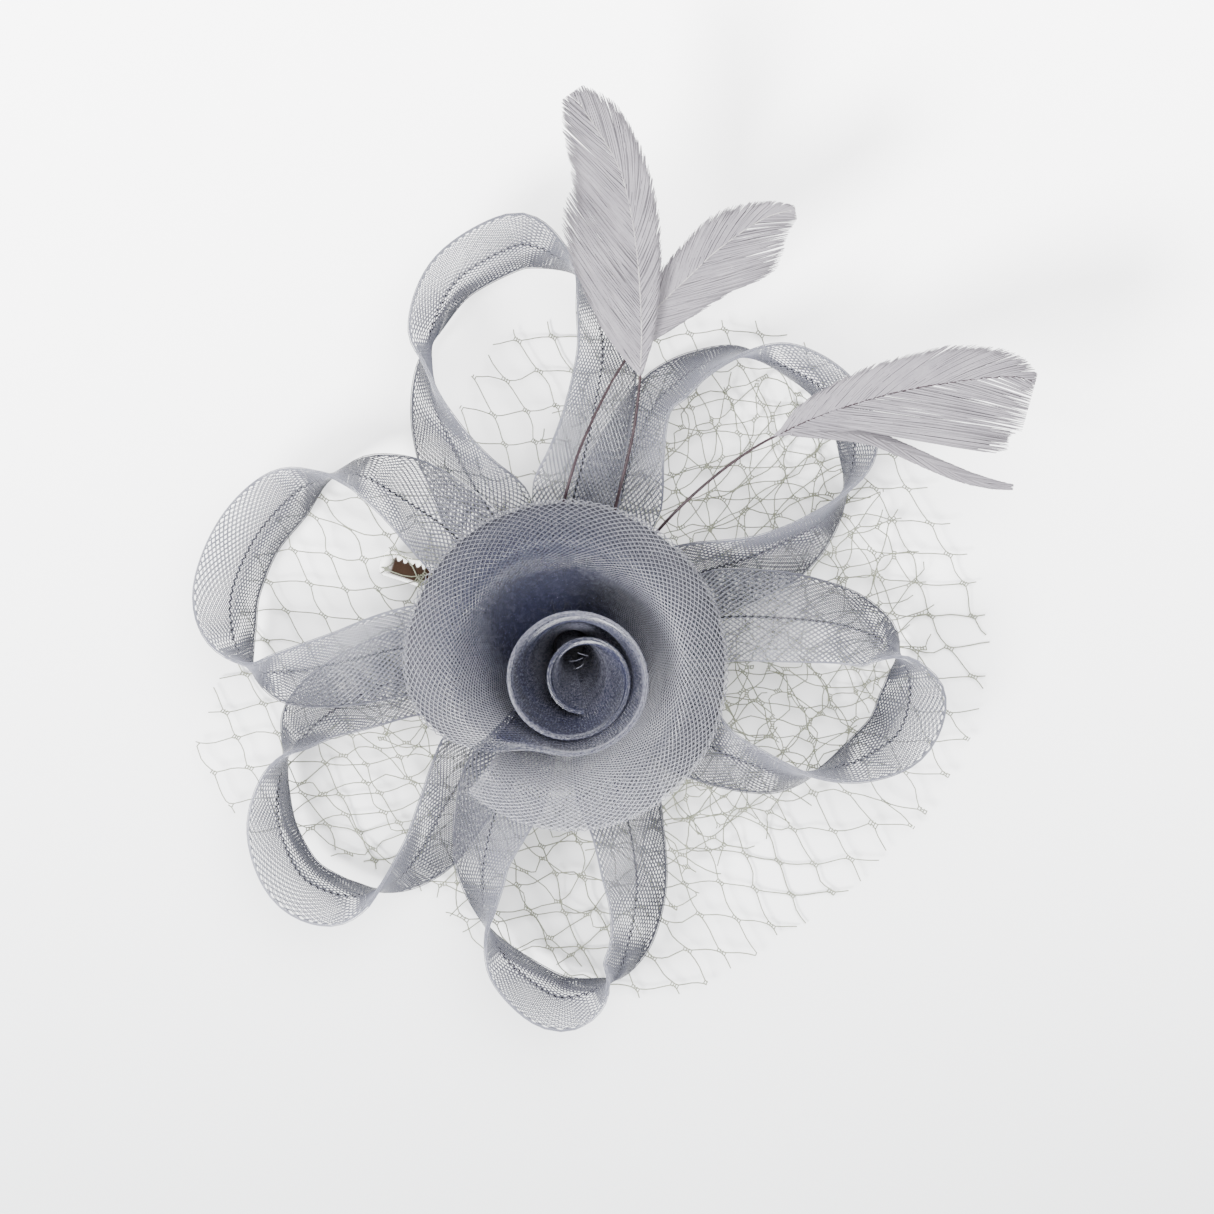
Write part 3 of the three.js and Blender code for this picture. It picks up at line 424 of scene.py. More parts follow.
def reader(columns, rows):
    """Reads a table smoothly at shares of the way down its rows, each column by name."""
    table = np.array(rows, float)
    last = len(table) - 1

    def read(share):
        place = np.clip(np.asarray(share, float), 0, 1) * last
        row = np.minimum(place.astype(int), last - 1)
        t = (place - row)[..., None]
        a, b, c, d = (table[np.clip(row + k, 0, last)] for k in (-1, 0, 1, 2))
        values = b + 0.5 * t * (c - a + t * (2 * a - 5 * b + 4 * c - d + t * (3 * (b - c) + d - a)))
        return dict(zip(columns, np.moveaxis(values, -1, 0)))

    return read


def smooth_rows(rows, share):
    """Points at shares of the way across a stack of rows, smoothly through all the rows."""
    return np.stack(list(reader(range(3), rows)(share).values()), -1)


def mix(a, b, share):
    return a + (b - a) * share


def turned(points, degrees):
    angle = math.radians(degrees)
    x, y = points[..., 0], points[..., 1]
    cos, sin = math.cos(angle), math.sin(angle)
    return np.stack([x * cos - y * sin, x * sin + y * cos], -1)


def unit(vectors):
    return vectors / np.maximum(np.linalg.norm(vectors, axis=-1, keepdims=True), 1e-9)


def run_along(line):
    """How far each point of a line lies along it."""
    return np.concatenate([[0], np.cumsum(np.linalg.norm(np.diff(line, axis=0), axis=-1))])


def point_at(line, run, at):
    """The point of a line at a length along it."""
    return np.array([np.interp(at, run, line[:, axis]) for axis in range(3)])


def away(distance, degrees):
    """X and Y at a distance and a heading."""
    angle = math.radians(degrees)
    return distance * math.cos(angle), distance * math.sin(angle)


def net_drop(distance):
    """How far the net has come down, from 0 over the felt to 1 on the surface."""
    return np.clip((distance - VEIL_EDGE) / (VEIL_DROP_TO - VEIL_EDGE), 0, 1)


def foot_height(distance):
    low = VEIL_WALL + 2 * VEIL_WAVE + LAY + RIBBON_WALL / 2
    return mix(LOOP_REST, low, net_drop(distance))


def loop_section(sizes, share):
    """A loop's upper edge, middle thread and lower edge at shares of its way: (n, 3, 3)."""
    read = reader(LOOP_COLUMNS, sizes["rows"])

    def plan(at):
        row = read(at)
        flat = np.stack([row["out"] * sizes["reach"], row["side"] * sizes["spread"]], -1)
        return turned(flat, sizes["heading"])

    row = read(share)
    thread = plan(share)
    travel = unit(plan(np.minimum(share + HEADING_STEP, 1)) - plan(np.maximum(share - HEADING_STEP, 0)))
    inward = np.stack([-travel[:, 1], travel[:, 0]], -1)
    distance = np.linalg.norm(thread, axis=-1)
    opened = np.clip((distance - RIBBON_PINCHED_TO) / (RIBBON_FULL_AT - RIBBON_PINCHED_TO), 0, 1)
    half = RIBBON_WIDTH / 2 * mix(RIBBON_PINCH, 1, opened)
    top, bottom = np.radians(row["top"]), np.radians(row["bottom"])
    height = foot_height(distance) + row["lift"] * RIBBON_WIDTH + half * np.sin(bottom)
    middle = np.column_stack([thread, height])

    def lean(angle):
        return np.column_stack([inward * (half * np.cos(angle))[:, None], half * np.sin(angle)])

    return np.stack([middle + lean(top), middle, middle - lean(bottom)], 1)


def rose_section(share):
    """The rose band's points from foot to rim at shares of its way: (n, 7, 3)."""
    row = reader(ROSE_COLUMNS, ROSE_ROWS)(share)
    turns = (ROSE_ROWS[0][0] - row["angle"]) / FULL_TURN
    row["foot"] = (ROSE_FOOT_RADIUS + ROSE_FOOT_GROWTH * turns) / ROSE_RADIUS
    turn = np.radians(row["angle"])
    bottom = FELT_TOP + GAP + ROSE_WALL / 2
    points = []
    for inner, outer, way, rise, fall in ROSE_SECTION:
        radius = mix(row[inner], row[outer], way)
        height = mix(rise * row["crestRise"], row["rimRise"], fall)
        points.append(np.stack([
            ROSE_RADIUS * (radius * np.cos(turn) + rise * row["east"]),
            ROSE_RADIUS * (radius * np.sin(turn) + rise * row["north"]),
            bottom + height * ROSE_HEIGHT,
        ], -1))
    return np.stack(points, 1)


def band_run(section, column):
    """Shares of the way along a band, and how far along one of its columns each lies."""
    shares = np.linspace(0, 1, BAND_SAMPLES)
    return shares, run_along(section(shares)[:, column])


def band(section, column, along, across):
    """An even grid of points on a band, along by across steps, its normals, length and width."""
    shares, run = band_run(section, column)
    rows = section(np.interp(np.linspace(0, run[-1], along + 1), run, shares))
    ways = np.linspace(0, 1, SECTION_SAMPLES)
    width = run_along(smooth_rows(rows[len(rows) // 2], ways))
    at = np.interp(np.linspace(0, width[-1], across + 1), width, ways)
    points = np.stack([smooth_rows(row, at) for row in rows])
    normals = unit(np.cross(np.gradient(points, axis=0), np.gradient(points, axis=1)))
    return points, normals, run[-1], width[-1]


# Strands: everything woven, knotted or grown is a mesh of closed strands along paths

def strand_tree():
    """The node group that turns lines into closed strands of one material."""
    tree = bpy.data.node_groups.new("strands", "GeometryNodeTree")
    face = tree.interface
    face.new_socket("Geometry", in_out="INPUT", socket_type="NodeSocketGeometry")
    radius = face.new_socket("Radius", in_out="INPUT", socket_type="NodeSocketFloat")
    radius.subtype = "DISTANCE"
    radius.default_value = 0.00014
    sides = face.new_socket("Sides", in_out="INPUT", socket_type="NodeSocketInt")
    sides.default_value = 3
    sides.min_value = 3
    face.new_socket("Material", in_out="INPUT", socket_type="NodeSocketMaterial")
    face.new_socket("Geometry", in_out="OUTPUT", socket_type="NodeSocketGeometry")
    new = tree.nodes.new
    link = tree.links.new
    group_in = new("NodeGroupInput")
    group_out = new("NodeGroupOutput")
    curve = new("GeometryNodeMeshToCurve")
    girth = new("GeometryNodeInputNamedAttribute")
    girth.data_type = "FLOAT"
    girth.inputs["Name"].default_value = "girth"
    width = new("GeometryNodeSetCurveRadius")
    ring = new("GeometryNodeCurvePrimitiveCircle")
    sweep = new("GeometryNodeCurveToMesh")
    sweep.inputs["Fill Caps"].default_value = True
    smooth = new("GeometryNodeSetShadeSmooth")
    realize = new("GeometryNodeRealizeInstances")
    paint = new("GeometryNodeSetMaterial")
    link(group_in.outputs["Geometry"], curve.inputs["Mesh"])
    link(curve.outputs["Curve"], width.inputs["Curve"])
    link(girth.outputs["Attribute"], width.inputs["Radius"])
    link(group_in.outputs["Radius"], ring.inputs["Radius"])
    link(group_in.outputs["Sides"], ring.inputs["Resolution"])
    link(width.outputs["Curve"], sweep.inputs["Curve"])
    link(ring.outputs["Curve"], sweep.inputs["Profile Curve"])
    if "Scale" in sweep.inputs:
        link(girth.outputs["Attribute"], sweep.inputs["Scale"])
    link(sweep.outputs["Mesh"], smooth.inputs["Geometry"])
    link(smooth.outputs["Geometry"], realize.inputs["Geometry"])
    link(realize.outputs["Geometry"], paint.inputs["Geometry"])
    link(group_in.outputs["Material"], paint.inputs["Material"])
    link(paint.outputs["Geometry"], group_out.inputs["Geometry"])
    return tree


def strands(name, paths, diameter, material, sides=3, girths=None):
    """One object of closed strands along paths of points, in millimetres from the heart."""
    points = np.concatenate(paths) * MM + np.array([HEART.x, HEART.y, 0])
    ends = np.cumsum([len(path) for path in paths])
    starts = np.arange(len(points) - 1)
    starts = starts[~np.isin(starts + 1, ends)]
    mesh = bpy.data.meshes.new(name + "_lines")
    mesh.vertices.add(len(points))
    mesh.vertices.foreach_set("co", points.astype(np.float32).ravel())
    mesh.edges.add(len(starts))
    mesh.edges.foreach_set("vertices", np.column_stack([starts, starts + 1]).astype(np.int32).ravel())
    girth = mesh.attributes.new("girth", "FLOAT", "POINT")
    girth.data.foreach_set("value", (np.ones(len(points)) if girths is None else np.concatenate(girths)))
    lines = bpy.data.objects.new(name + "_lines", mesh)
    bpy.context.scene.collection.objects.link(lines)
    tree = bpy.data.node_groups.get("strands") or strand_tree()
    swept = lines.modifiers.new("strands", "NODES")
    swept.node_group = tree
    values = {"Radius": diameter / 2 * MM, "Sides": sides, "Material": material}
    for item in tree.interface.items_tree:
        if item.item_type == "SOCKET" and item.in_out == "INPUT" and item.name in values:
            swept[item.identifier] = values[item.name]
    graph = bpy.context.evaluated_depsgraph_get()
    made = bpy.data.meshes.new_from_object(lines.evaluated_get(graph))
    made.name = name
    bpy.data.objects.remove(lines)
    bpy.data.meshes.remove(mesh)
    piece = bpy.data.objects.new(name, made)
    bpy.context.scene.collection.objects.link(piece)
    if not made.materials:
        made.materials.append(material)
    return piece


def braid_paths(points, normals, depth, lay, steps):
    """Filaments of a flattened tube of braid over a grid's steps: two layers, two directions."""
    across = points.shape[1] - 1
    first, last = steps
    rows = np.arange(first, last + 1)
    paths = []
    for way in (1, -1):
        for start in range(2 * across):
            ring = (start + way * rows) % (2 * across)
            column = np.where(ring <= across, ring, 2 * across - ring)
            side = np.where((ring > 0) & (ring < across), 1, np.where(ring % across == 0, 0, -1))
            offset = side * (depth / 2 + way * lay)
            paths.append(points[rows, column] + normals[rows, column] * offset[:, None])
    return paths


def edge_paths(points, normals, depth, columns, count):
    """Filaments that run side by side along a band's edges, through its thickness."""
    offsets = np.linspace(-depth / 2, depth / 2, count)
    return [points[:, column] + normals[:, column] * offset for column in columns for offset in offsets]


def lining(name, points, normals, openness, material):
    """A thin closed cloth over a grid; its lay gives millimetres along and across, and openness."""
    rows, cols = points.shape[:2]
    layers = [points + normals * LINING / 2, points - normals * LINING / 2]
    vertices = np.concatenate([layer.reshape(-1, 3) for layer in layers])
    index = np.arange(2 * rows * cols).reshape(2, rows, cols)
    front, back = index

    def quads(a, b, c, d):
        return np.stack([a, b, c, d], -1).reshape(-1, 4)

    def flat_quads(side):
        return quads(side[:-1, :-1], side[1:, :-1], side[1:, 1:], side[:-1, 1:])

    around = [index[:, :, 0], index[:, -1, 1:], index[:, ::-1, -1][:, 1:], index[:, 0, ::-1][:, 1:]]
    outer, inner = np.concatenate(around, 1)
    edge = quads(inner[:-1], inner[1:], outer[1:], outer[:-1])
    faces = np.concatenate([flat_quads(front), flat_quads(back)[:, ::-1], edge])
    mesh = bpy.data.meshes.new(name)
    mesh.from_pydata(vertices * MM + np.array([HEART.x, HEART.y, 0]), [], faces.tolist())
    lay = np.zeros((2, rows, cols, 3))
    lay[..., 0] = run_along(points[:, cols // 2])[:, None]
    lay[..., 1] = run_along(points[rows // 2])
    lay[..., 2] = openness
    mesh.attributes.new("lay", "FLOAT_VECTOR", "POINT").data.foreach_set("vector", lay.ravel())
    mesh.materials.append(material)
    mesh.shade_smooth()
    piece = bpy.data.objects.new(name, mesh)
    bpy.context.scene.collection.objects.link(piece)
    return piece


# Shaders

class Wire:
    """A shader value that adds, subtracts, multiplies and divides, and takes other maths by name."""

    def __init__(self, shade, socket):
        self.shade = shade
        self.socket = socket

    def apply(self, operation, other=0.0):
        """One maths node on this value and, where it takes two, another."""
        return self.shade.maths(operation, self, other)

    def __add__(self, other):
        return self.apply("ADD", other)

    def __sub__(self, other):
        return self.apply("SUBTRACT", other)

    def __rsub__(self, other):
        return self.shade.maths("SUBTRACT", other, self)

    def __mul__(self, other):
        return self.apply("MULTIPLY", other)

    def __truediv__(self, other):
        return self.apply("DIVIDE", other)

    __radd__ = __add__
    __rmul__ = __mul__


class Shade:
    """One procedural material."""

    def __init__(self, name):
        self.material = bpy.data.materials.new(name)
        self.material.use_nodes = True
        self.tree = self.material.node_tree
        self.tree.nodes.clear()
        self.place = self.node("TexCoord", output="Object")

    def node(self, kind, inputs=None, output=0, **settings):
        """A node of that kind with its inputs set or joined; one of its outputs as a Wire."""
        made = self.tree.nodes.new("ShaderNode" + kind)
        for name, value in settings.items():
            setattr(made, name, value)
        for name, value in (inputs or {}).items():
            if isinstance(value, Wire):
                self.tree.links.new(value.socket, made.inputs[name])
            else:
                made.inputs[name].default_value = value
        return Wire(self, made.outputs[output])

    def maths(self, operation, one, other):
        return self.node("Math", {0: one, 1: other}, operation=operation)

    def part(self, vector, axis):
        """One of a vector's X, Y and Z."""
        return self.node("SeparateXYZ", {"Vector": vector}, axis)

    def rise(self, value, low, high):
        """From 0 where a value is low to 1 where it is high."""
        return self.node("MapRange", {"Value": value, "From Min": low, "From Max": high})

    def noise(self, scale, detail=2.0, output="Fac"):
        values = {"Vector": self.place, "Scale": scale, "Detail": detail}
        return self.node("TexNoise", values, output)

    def colours(self, share, dark, light):
        """A colour between two, each of them given or made by other nodes."""
        made = self.tree.nodes.new("ShaderNodeMix")
        made.data_type = "RGBA"
        for socket, value in ((0, share), (6, dark), (7, light)):
            if isinstance(value, Wire):
                self.tree.links.new(value.socket, made.inputs[socket])
            else:
                made.inputs[socket].default_value = (*value, 1) if isinstance(value, tuple) else value
        return Wire(self, made.outputs[2])

    def bump(self, height, strength, distance):
        return self.node("Bump", {"Height": height, "Strength": strength, "Distance": distance}, "Normal")

    def surface(self, **inputs):
        """The principled surface, each input by its socket's name with underscores for spaces."""
        values = {name.replace("_", " "): value for name, value in inputs.items()}
        shader = self.node("BsdfPrincipled", values, "BSDF")
        out = self.tree.nodes.new("ShaderNodeOutputMaterial")
        self.tree.links.new(shader.socket, out.inputs["Surface"])
        return self.material


def grained(shade, share, dark, light, scale=700, depth=0.5):
    """A colour between dark and light, with a fine grain."""
    grain = shade.noise(scale, 2)
    return shade.colours(share + (grain - 0.5) * depth, dark, light)


def loop_tint(shade, dark, light):
    """Painted shade low down, where the layers close up, and painted light along the upper edge."""
    return grained(shade, shade.rise(shade.part(shade.place, "Z"), *LOOP_SHADED), dark, light)


def plan_from(shade, middle):
    """X and Y from a point given in metres from the heart."""
    x = shade.part(shade.place, "X") - (HEART.x + middle[0])
    y = shade.part(shade.place, "Y") - (HEART.y + middle[1])
    return x, y


def out_from(shade, middle):
    """Distance on plan from a point given in metres from the heart."""
    x, y = plan_from(shade, middle)
    return (x * x + y * y).apply("SQRT")


def tube_tint(shade, dark, light):
    """The rose's heart in painted shade and light, with painted glints: darkest along its inner rim and
    palest along its outer one.
    """
    height = shade.part(shade.place, "Z")
    out = shade.rise(out_from(shade, TUBE_MIDDLE), *TUBE_SHADED)
    share = shade.rise(height, *TUBE_RIM) * out + (1 - shade.rise(height, *TUBE_DEPTH)) * TUBE_BOTTOM
    # The strong fine grain paints glints on the filaments.
    return grained(shade, share, dark, light, scale=1300, depth=1.6)


def ring_tint(shade, dark, light):
    """The rose's ring: painted shade round the funnel and low on its wall, paler outside, palest in the
    lobe at the bottom.
    """
    out = shade.rise(out_from(shade, FUNNEL_MIDDLE), *FUNNEL_SHADED)
    high = shade.rise(shade.part(shade.place, "Z"), *FUNNEL_WALL)
    ring = grained(shade, out * high, dark, light)
    lobe = shade.rise(shade.part(shade.place, "Y"), *LOBE_PLACE)
    return shade.colours(lobe, ring, tuple(LOBE_GAIN * value for value in light))


# Braid: its tint, which paints shade and light into its colour, its shine, and the dark and pale colours of
# its lining, if it has one
BRAIDS = {
    "loop_braid": (loop_tint, 0.4, None),
    "rose_heart": (tube_tint, 0.35, [(0.01, 0.011, 0.022), (0.016, 0.016, 0.026)]),
    "rose_ring": (ring_tint, 0.5, [(0.008, 0.009, 0.02), (0.045, 0.045, 0.054)]),
}


def braid_material(name, tint, shine, colours):
    """Clear grey nylon filament: smooth, glossy, and a little uneven from place to place, in its tint's
    painted shade and light.
    """
    shade = Shade(name)
    fine = shade.noise(900, 1)
    return shade.surface(
        Base_Color=tint(shade, *colours), Roughness=0.12 + fine * 0.16,
        Specular_IOR_Level=shine, Coat_Weight=0.6 * shine, Coat_Roughness=0.1,
    )


def weave_material(name, tint, colours, pitch, lean):
    """Braid too fine to model: threads that cross at a slant, with openings between them."""
    shade = Shade(name)
    lay = shade.node("Attribute", output="Vector", attribute_name="lay")
    run = shade.part(lay, "X") * math.tan(lean)
    across = shade.part(lay, "Y")
    turns = math.pi / (pitch / MM)
    lines = [((across + way * run) * turns).apply("SINE").apply("ABSOLUTE") for way in (1, -1)]
    thread = shade.rise(lines[0].apply("MAXIMUM", lines[1]), *WEAVE_THREAD)
    cover = (WEAVE_COVER + thread * WEAVE_THREAD_COVER) * (1 - shade.part(lay, "Z"))
    return shade.surface(
        # Its colour is the tint's painted shade and light.
        Base_Color=tint(shade, *colours), Roughness=0.8, Specular_IOR_Level=0.05, Alpha=cover,
        Normal=shade.bump(thread, 0.6, 0.0003),
    )


def grain_material(name, scale, detail, colours, roughness, shine, relief=None):
    """A finish with a grain from dark to pale and, where given, its relief."""
    shade = Shade(name)
    grain = shade.noise(scale, detail)
    relieved = {"Normal": shade.bump(grain, *relief)} if relief else {}
    return shade.surface(
        Base_Color=shade.colours(grain, *colours), Roughness=roughness, Specular_IOR_Level=shine,
        **relieved,
    )


def barb_material(dark, pale):
    """Feather that is paler in patches and from barb to barb."""
    shade = Shade("feather_barb")
    patch = shade.noise(90, 4)
    fine = shade.noise(1500, 1)
    return shade.surface(
        Base_Color=shade.colours(patch * 0.8 + fine * 0.3, dark, pale),
        Roughness=0.75, Specular_IOR_Level=0.2,
    )


def chrome_material():
    """Bright plated steel with reflections painted into its colour: dark along its middle, bright like the
    lamps along its rim, teeth and nose.
    """
    shade = Shade("clip_chrome")
    nose_x, nose_y = away(1, CLIP_HEADING)
    x, y = plan_from(shade, away(CLIP_PIN_OUT * MM, CLIP_PIN_HEADING))
    along = x * nose_x + y * nose_y
    across = y * nose_x - x * nose_y
    notch = (along * (math.pi / (TOOTH_PITCH * MM))).apply("SINE").apply("ABSOLUTE")
    edge = CLIP_WIDTH / 2 * MM
    rim = shade.rise(across.apply("ABSOLUTE"), *(share * edge for share in CLIP_RIM_GLINT))
    tooth = across * -1 + notch * (CLIP_TOOTH_DEPTH * edge)
    teeth = shade.rise(tooth, *(share * edge for share in CLIP_TEETH_GLINT))
    nose = shade.rise(along, *((CLIP_NOSE - before) * MM for before in CLIP_NOSE_GLINT))
    # Where the clip turns bright is painted reflection of the lamps; the rest is painted dark reflection.
    painted_reflection = rim.apply("MAXIMUM", teeth).apply("MAXIMUM", nose)
    smudge = shade.noise(220, 3)
    return shade.surface(
        Base_Color=shade.colours(painted_reflection, (0.022, 0.013, 0.009), (0.9, 0.89, 0.87)), Metallic=1.0,
        Roughness=0.08 + smudge * 0.16, Normal=shade.bump(smudge, 0.08, 0.0003),
    )


def floor_material():
    """Pale board with a painted pool of light: brighter towards the top, darker towards the bottom."""
    shade = Shade("floor")
    # This share is painted light, rising from the bottom to the top.
    share = shade.rise(shade.part(shade.place, "Y"), -0.2, 0.17) + (shade.noise(2.5, 2) - 0.5) * 0.1
    return shade.surface(
        Base_Color=shade.colours(share, (0.4, 0.405, 0.41), (0.93, 0.92, 0.92)), Roughness=0.7,
        Specular_IOR_Level=0.1,
    )


# Pieces

def shown(piece, slot, *nodes):
    """Makes a piece ride on the fascinator and stand for those solids."""
    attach(piece, "root")
    if nodes:
        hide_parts(*nodes)


def centre_thread(points, normals, column, settings):
    """The gathering thread that runs down the middle of a ribbon, in small stitches."""
    line = points[:, column]
    count = len(line) * 2
    at = np.linspace(0, 1, count)
    stitched = smooth_rows(line, at)
    along = smooth_rows(normals[:, column], at)
    sway = np.where(np.arange(count) % 2 == 0, 1, -1) * settings.thread_sway / MM
    return stitched + along * sway[:, None]


def make_loop(name, settings):
    def section(share):
        return loop_section(LOOPS[name], share)

    across = round(RIBBON_WIDTH / (settings.pitch / MM))
    length = band_run(section, LOOP_MIDDLE)[1][-1]
    along = round(length / (settings.pitch / MM / math.tan(settings.lean)))
    points, normals, _, _ = band(section, LOOP_MIDDLE, along, across)
    paths = braid_paths(points, normals, settings.depth / MM, settings.filament / MM / 2, (0, along))
    paths += edge_paths(points, normals, settings.depth / MM, (0, across), EDGE_FILAMENTS)
    piece = strands(name + "_braid", paths, settings.filament / MM, MATERIALS["loop_braid"])
    shown(piece, "braid", name)
    thread = strands(
        name + "_thread", [centre_thread(points, normals, across // 2, settings)],
        settings.thread / MM, MATERIALS["thread"], sides=THREAD_SIDES,
    )
    shown(thread, "braid")


def make_rose(settings):
    step = settings.rose_pitch / MM
    depth = settings.depth / MM
    length = band_run(rose_section, ROSE_CREST)[1][-1]
    across = round(run_along(rose_section(np.array([ROSE_WIDTH_AT]))[0])[-1] / step)
    along = round(length / (step / math.tan(settings.rose_lean)))
    points, normals, _, width = band(rose_section, ROSE_CREST, along, across)
    cut = round(along * ROSE_CUT)
    for name, start, end, nodes in (("rose_heart", 0, cut, ()), ("rose_ring", cut, along, ("rose",))):
        rows, facing = points[start:end + 1], normals[start:end + 1]
        paths = braid_paths(points, normals, depth, settings.rose_filament / MM / 2, (start, end))
        piece = strands(name, paths, settings.rose_filament / MM, MATERIALS[name])
        shown(piece, "rose_braid", *nodes)
        share = np.linspace(start, end, len(rows)) / along
        openness = ROSE_OPENNESS * np.clip((share - ROSE_OPENS_AT) / (1 - ROSE_OPENS_AT), 0, 1)
        every = slice(None, None, LINING_STEP)
        weave = lining(name + "_weave", rows[every, every], facing[every, every], openness[every, None],
                       MATERIALS[name + "_weave"])
        shown(weave, "rose_braid")
        cells = np.cross(np.diff(rows, axis=0)[:, :-1], np.diff(rows, axis=1)[:-1])
        area = np.linalg.norm(cells, axis=-1).sum() * MM * MM
        flat = (width * MM, length * (end - start) / along * MM)
        min(area, flat[0] * flat[1])


def veil_reach(heading):
    headings, shares = zip(*VEIL_OUTLINE)
    return VEIL_REACH * np.interp(np.degrees(heading), headings, shares, period=FULL_TURN)


def veil_height(flat):
    """Height of the net's middle surface in the model."""
    x, y = flat[..., 0], flat[..., 1]
    drop = net_drop(np.hypot(x, y))
    ripple = VEIL_WAVE * (1 - np.cos(VEIL_WAVES * np.arctan2(y, x))) * drop
    low = mix(VEIL_CROWN, VEIL_WALL / 2, drop) + ripple
    clip = turned(flat - away(CLIP_PIN_OUT, CLIP_PIN_HEADING), -CLIP_HEADING)
    beside = np.maximum(np.abs(clip[..., 1]) - CLIP_WIDTH, 0)
    past = np.maximum(np.maximum(clip[..., 0] - CLIP_NOSE, -clip[..., 0]), 0)
    return np.maximum(low, CLIP_TOP + LAY + VEIL_WALL - VEIL_TENT_SLOPE * np.hypot(beside, past))


def gather(flat, folds):
    """Draws points near each fold's line towards it, and tells how near they are, from 0 to 1."""
    near = np.zeros(len(flat))
    for heading, start, end, width in folds:
        placed = turned(flat, -heading)
        along, off = placed[:, 0], placed[:, 1]
        here = np.clip(np.minimum(along - start, end - along) / width, 0, 1)
        close = here * np.clip(1 - np.abs(off) / width, 0, 1)
        flat = turned(np.column_stack([along, off * (1 - NET_DRAWN * close)]), heading)
        near = np.maximum(near, close)
    return flat, near


def veil_layer(settings, turn, scale, middle, rise, pull, seed, folds):
    """One layer of net: threads that meet in ladders, cut off at the layer's outline."""
    random = np.random.default_rng(seed)
    cell, ladder, half = settings.cell / MM, settings.ladder / MM, settings.ladder_width / MM / 2
    across, down = cell * math.cos(NET_SLANT), cell * math.sin(NET_SLANT)
    rows, columns = int(VEIL_REACH / down) + NET_SPARE, int(VEIL_REACH / across) + NET_SPARE
    shift = random.normal(0, NET_SCATTER * cell, (2 * rows + 2, 2 * columns + 2, 2))
    waves = random.uniform(0, 2 * math.pi, 3)

    def place(row, column):
        return np.array([(column - columns) * across, (row - rows) * down]) + shift[row, column]

    def settle(flat):
        flat = turned(flat, turn)
        distance = np.linalg.norm(flat, axis=-1, keepdims=True)
        flat = flat * (distance / VEIL_REACH) ** NET_GATHER
        flat += pull * np.sin(flat[:, ::-1] / NET_PULL_WAVE + waves[:2])
        flat, near = gather(flat, folds)
        distance = np.hypot(flat[:, 0], flat[:, 1])
        wave = 0.5 + 0.5 * np.sin(flat[:, 0] / NET_RIPPLES[0] + flat[:, 1] / NET_RIPPLES[1] + waves[2])
        lift = rise + settings.ripple / MM * wave + NET_FOLD_RISE * near
        height = veil_height(flat) + lift * net_drop(distance)
        out = flat - middle
        inside = np.hypot(out[:, 0], out[:, 1]) < veil_reach(np.arctan2(out[:, 1], out[:, 0])) * scale
        inside &= (distance > NET_HOLE) & (distance < veil_reach(np.arctan2(flat[:, 1], flat[:, 0])))
        return np.column_stack([flat, height]), inside

    rung = NET_RUNG_REACH * half
    lines = []
    for row in range(2 * rows):
        line = []
        for column in range(2 * columns):
            up = (column + row) % 2
            side = half * (1 - 2 * up)
            knot = place(row + up, column)
            slack = random.normal(0, NET_SLACK * pull, 2)
            line += [knot + [-ladder / 2, side], knot + [ladder / 2, side], knot + [across / 2, 0] + slack]
            line[-1][1] += down * (0.5 - up)
        at = np.arange(0, len(line) - 1, 0.5) / (len(line) - 1)
        lines.append(smooth_rows(np.pad(np.array(line), ((0, 0), (0, 1))), at)[:, :2])
        for column in range(row % 2, 2 * columns, 2):
            for at in ladder * np.linspace(-0.5, 0.5, NET_RUNGS):
                lines.append(place(row, column) + [[at, -rung], [at, rung]])
    points, inside = settle(np.concatenate(lines))
    ends = np.cumsum([len(line) for line in lines])[:-1]
    paths = []
    for line, here in zip(np.split(points, ends), np.split(inside, ends)):
        breaks = np.flatnonzero(np.diff(here.astype(int)) != 0) + 1
        paths += [part for part, kept in zip(np.split(line, breaks), np.split(here, breaks))
                  if kept[0] and len(part) > 1]
    return paths


def make_veil(settings):
    paths = []
    for layer in NET_LAYERS:
        paths += veil_layer(settings, *layer)
    shown(strands("veil_net", paths, settings.thread / MM, MATERIALS["net"]), "net", "veil")


def feather_shaft(rows, length, share):
    """A shaft's points at shares of its way, and the table's values there."""
    row = reader(FEATHER_COLUMNS, rows)(share)
    height = STEM_REST + row["rise"] * FEATHER_RISE
    return np.stack([row["east"] * length, row["north"] * length, height], -1), row


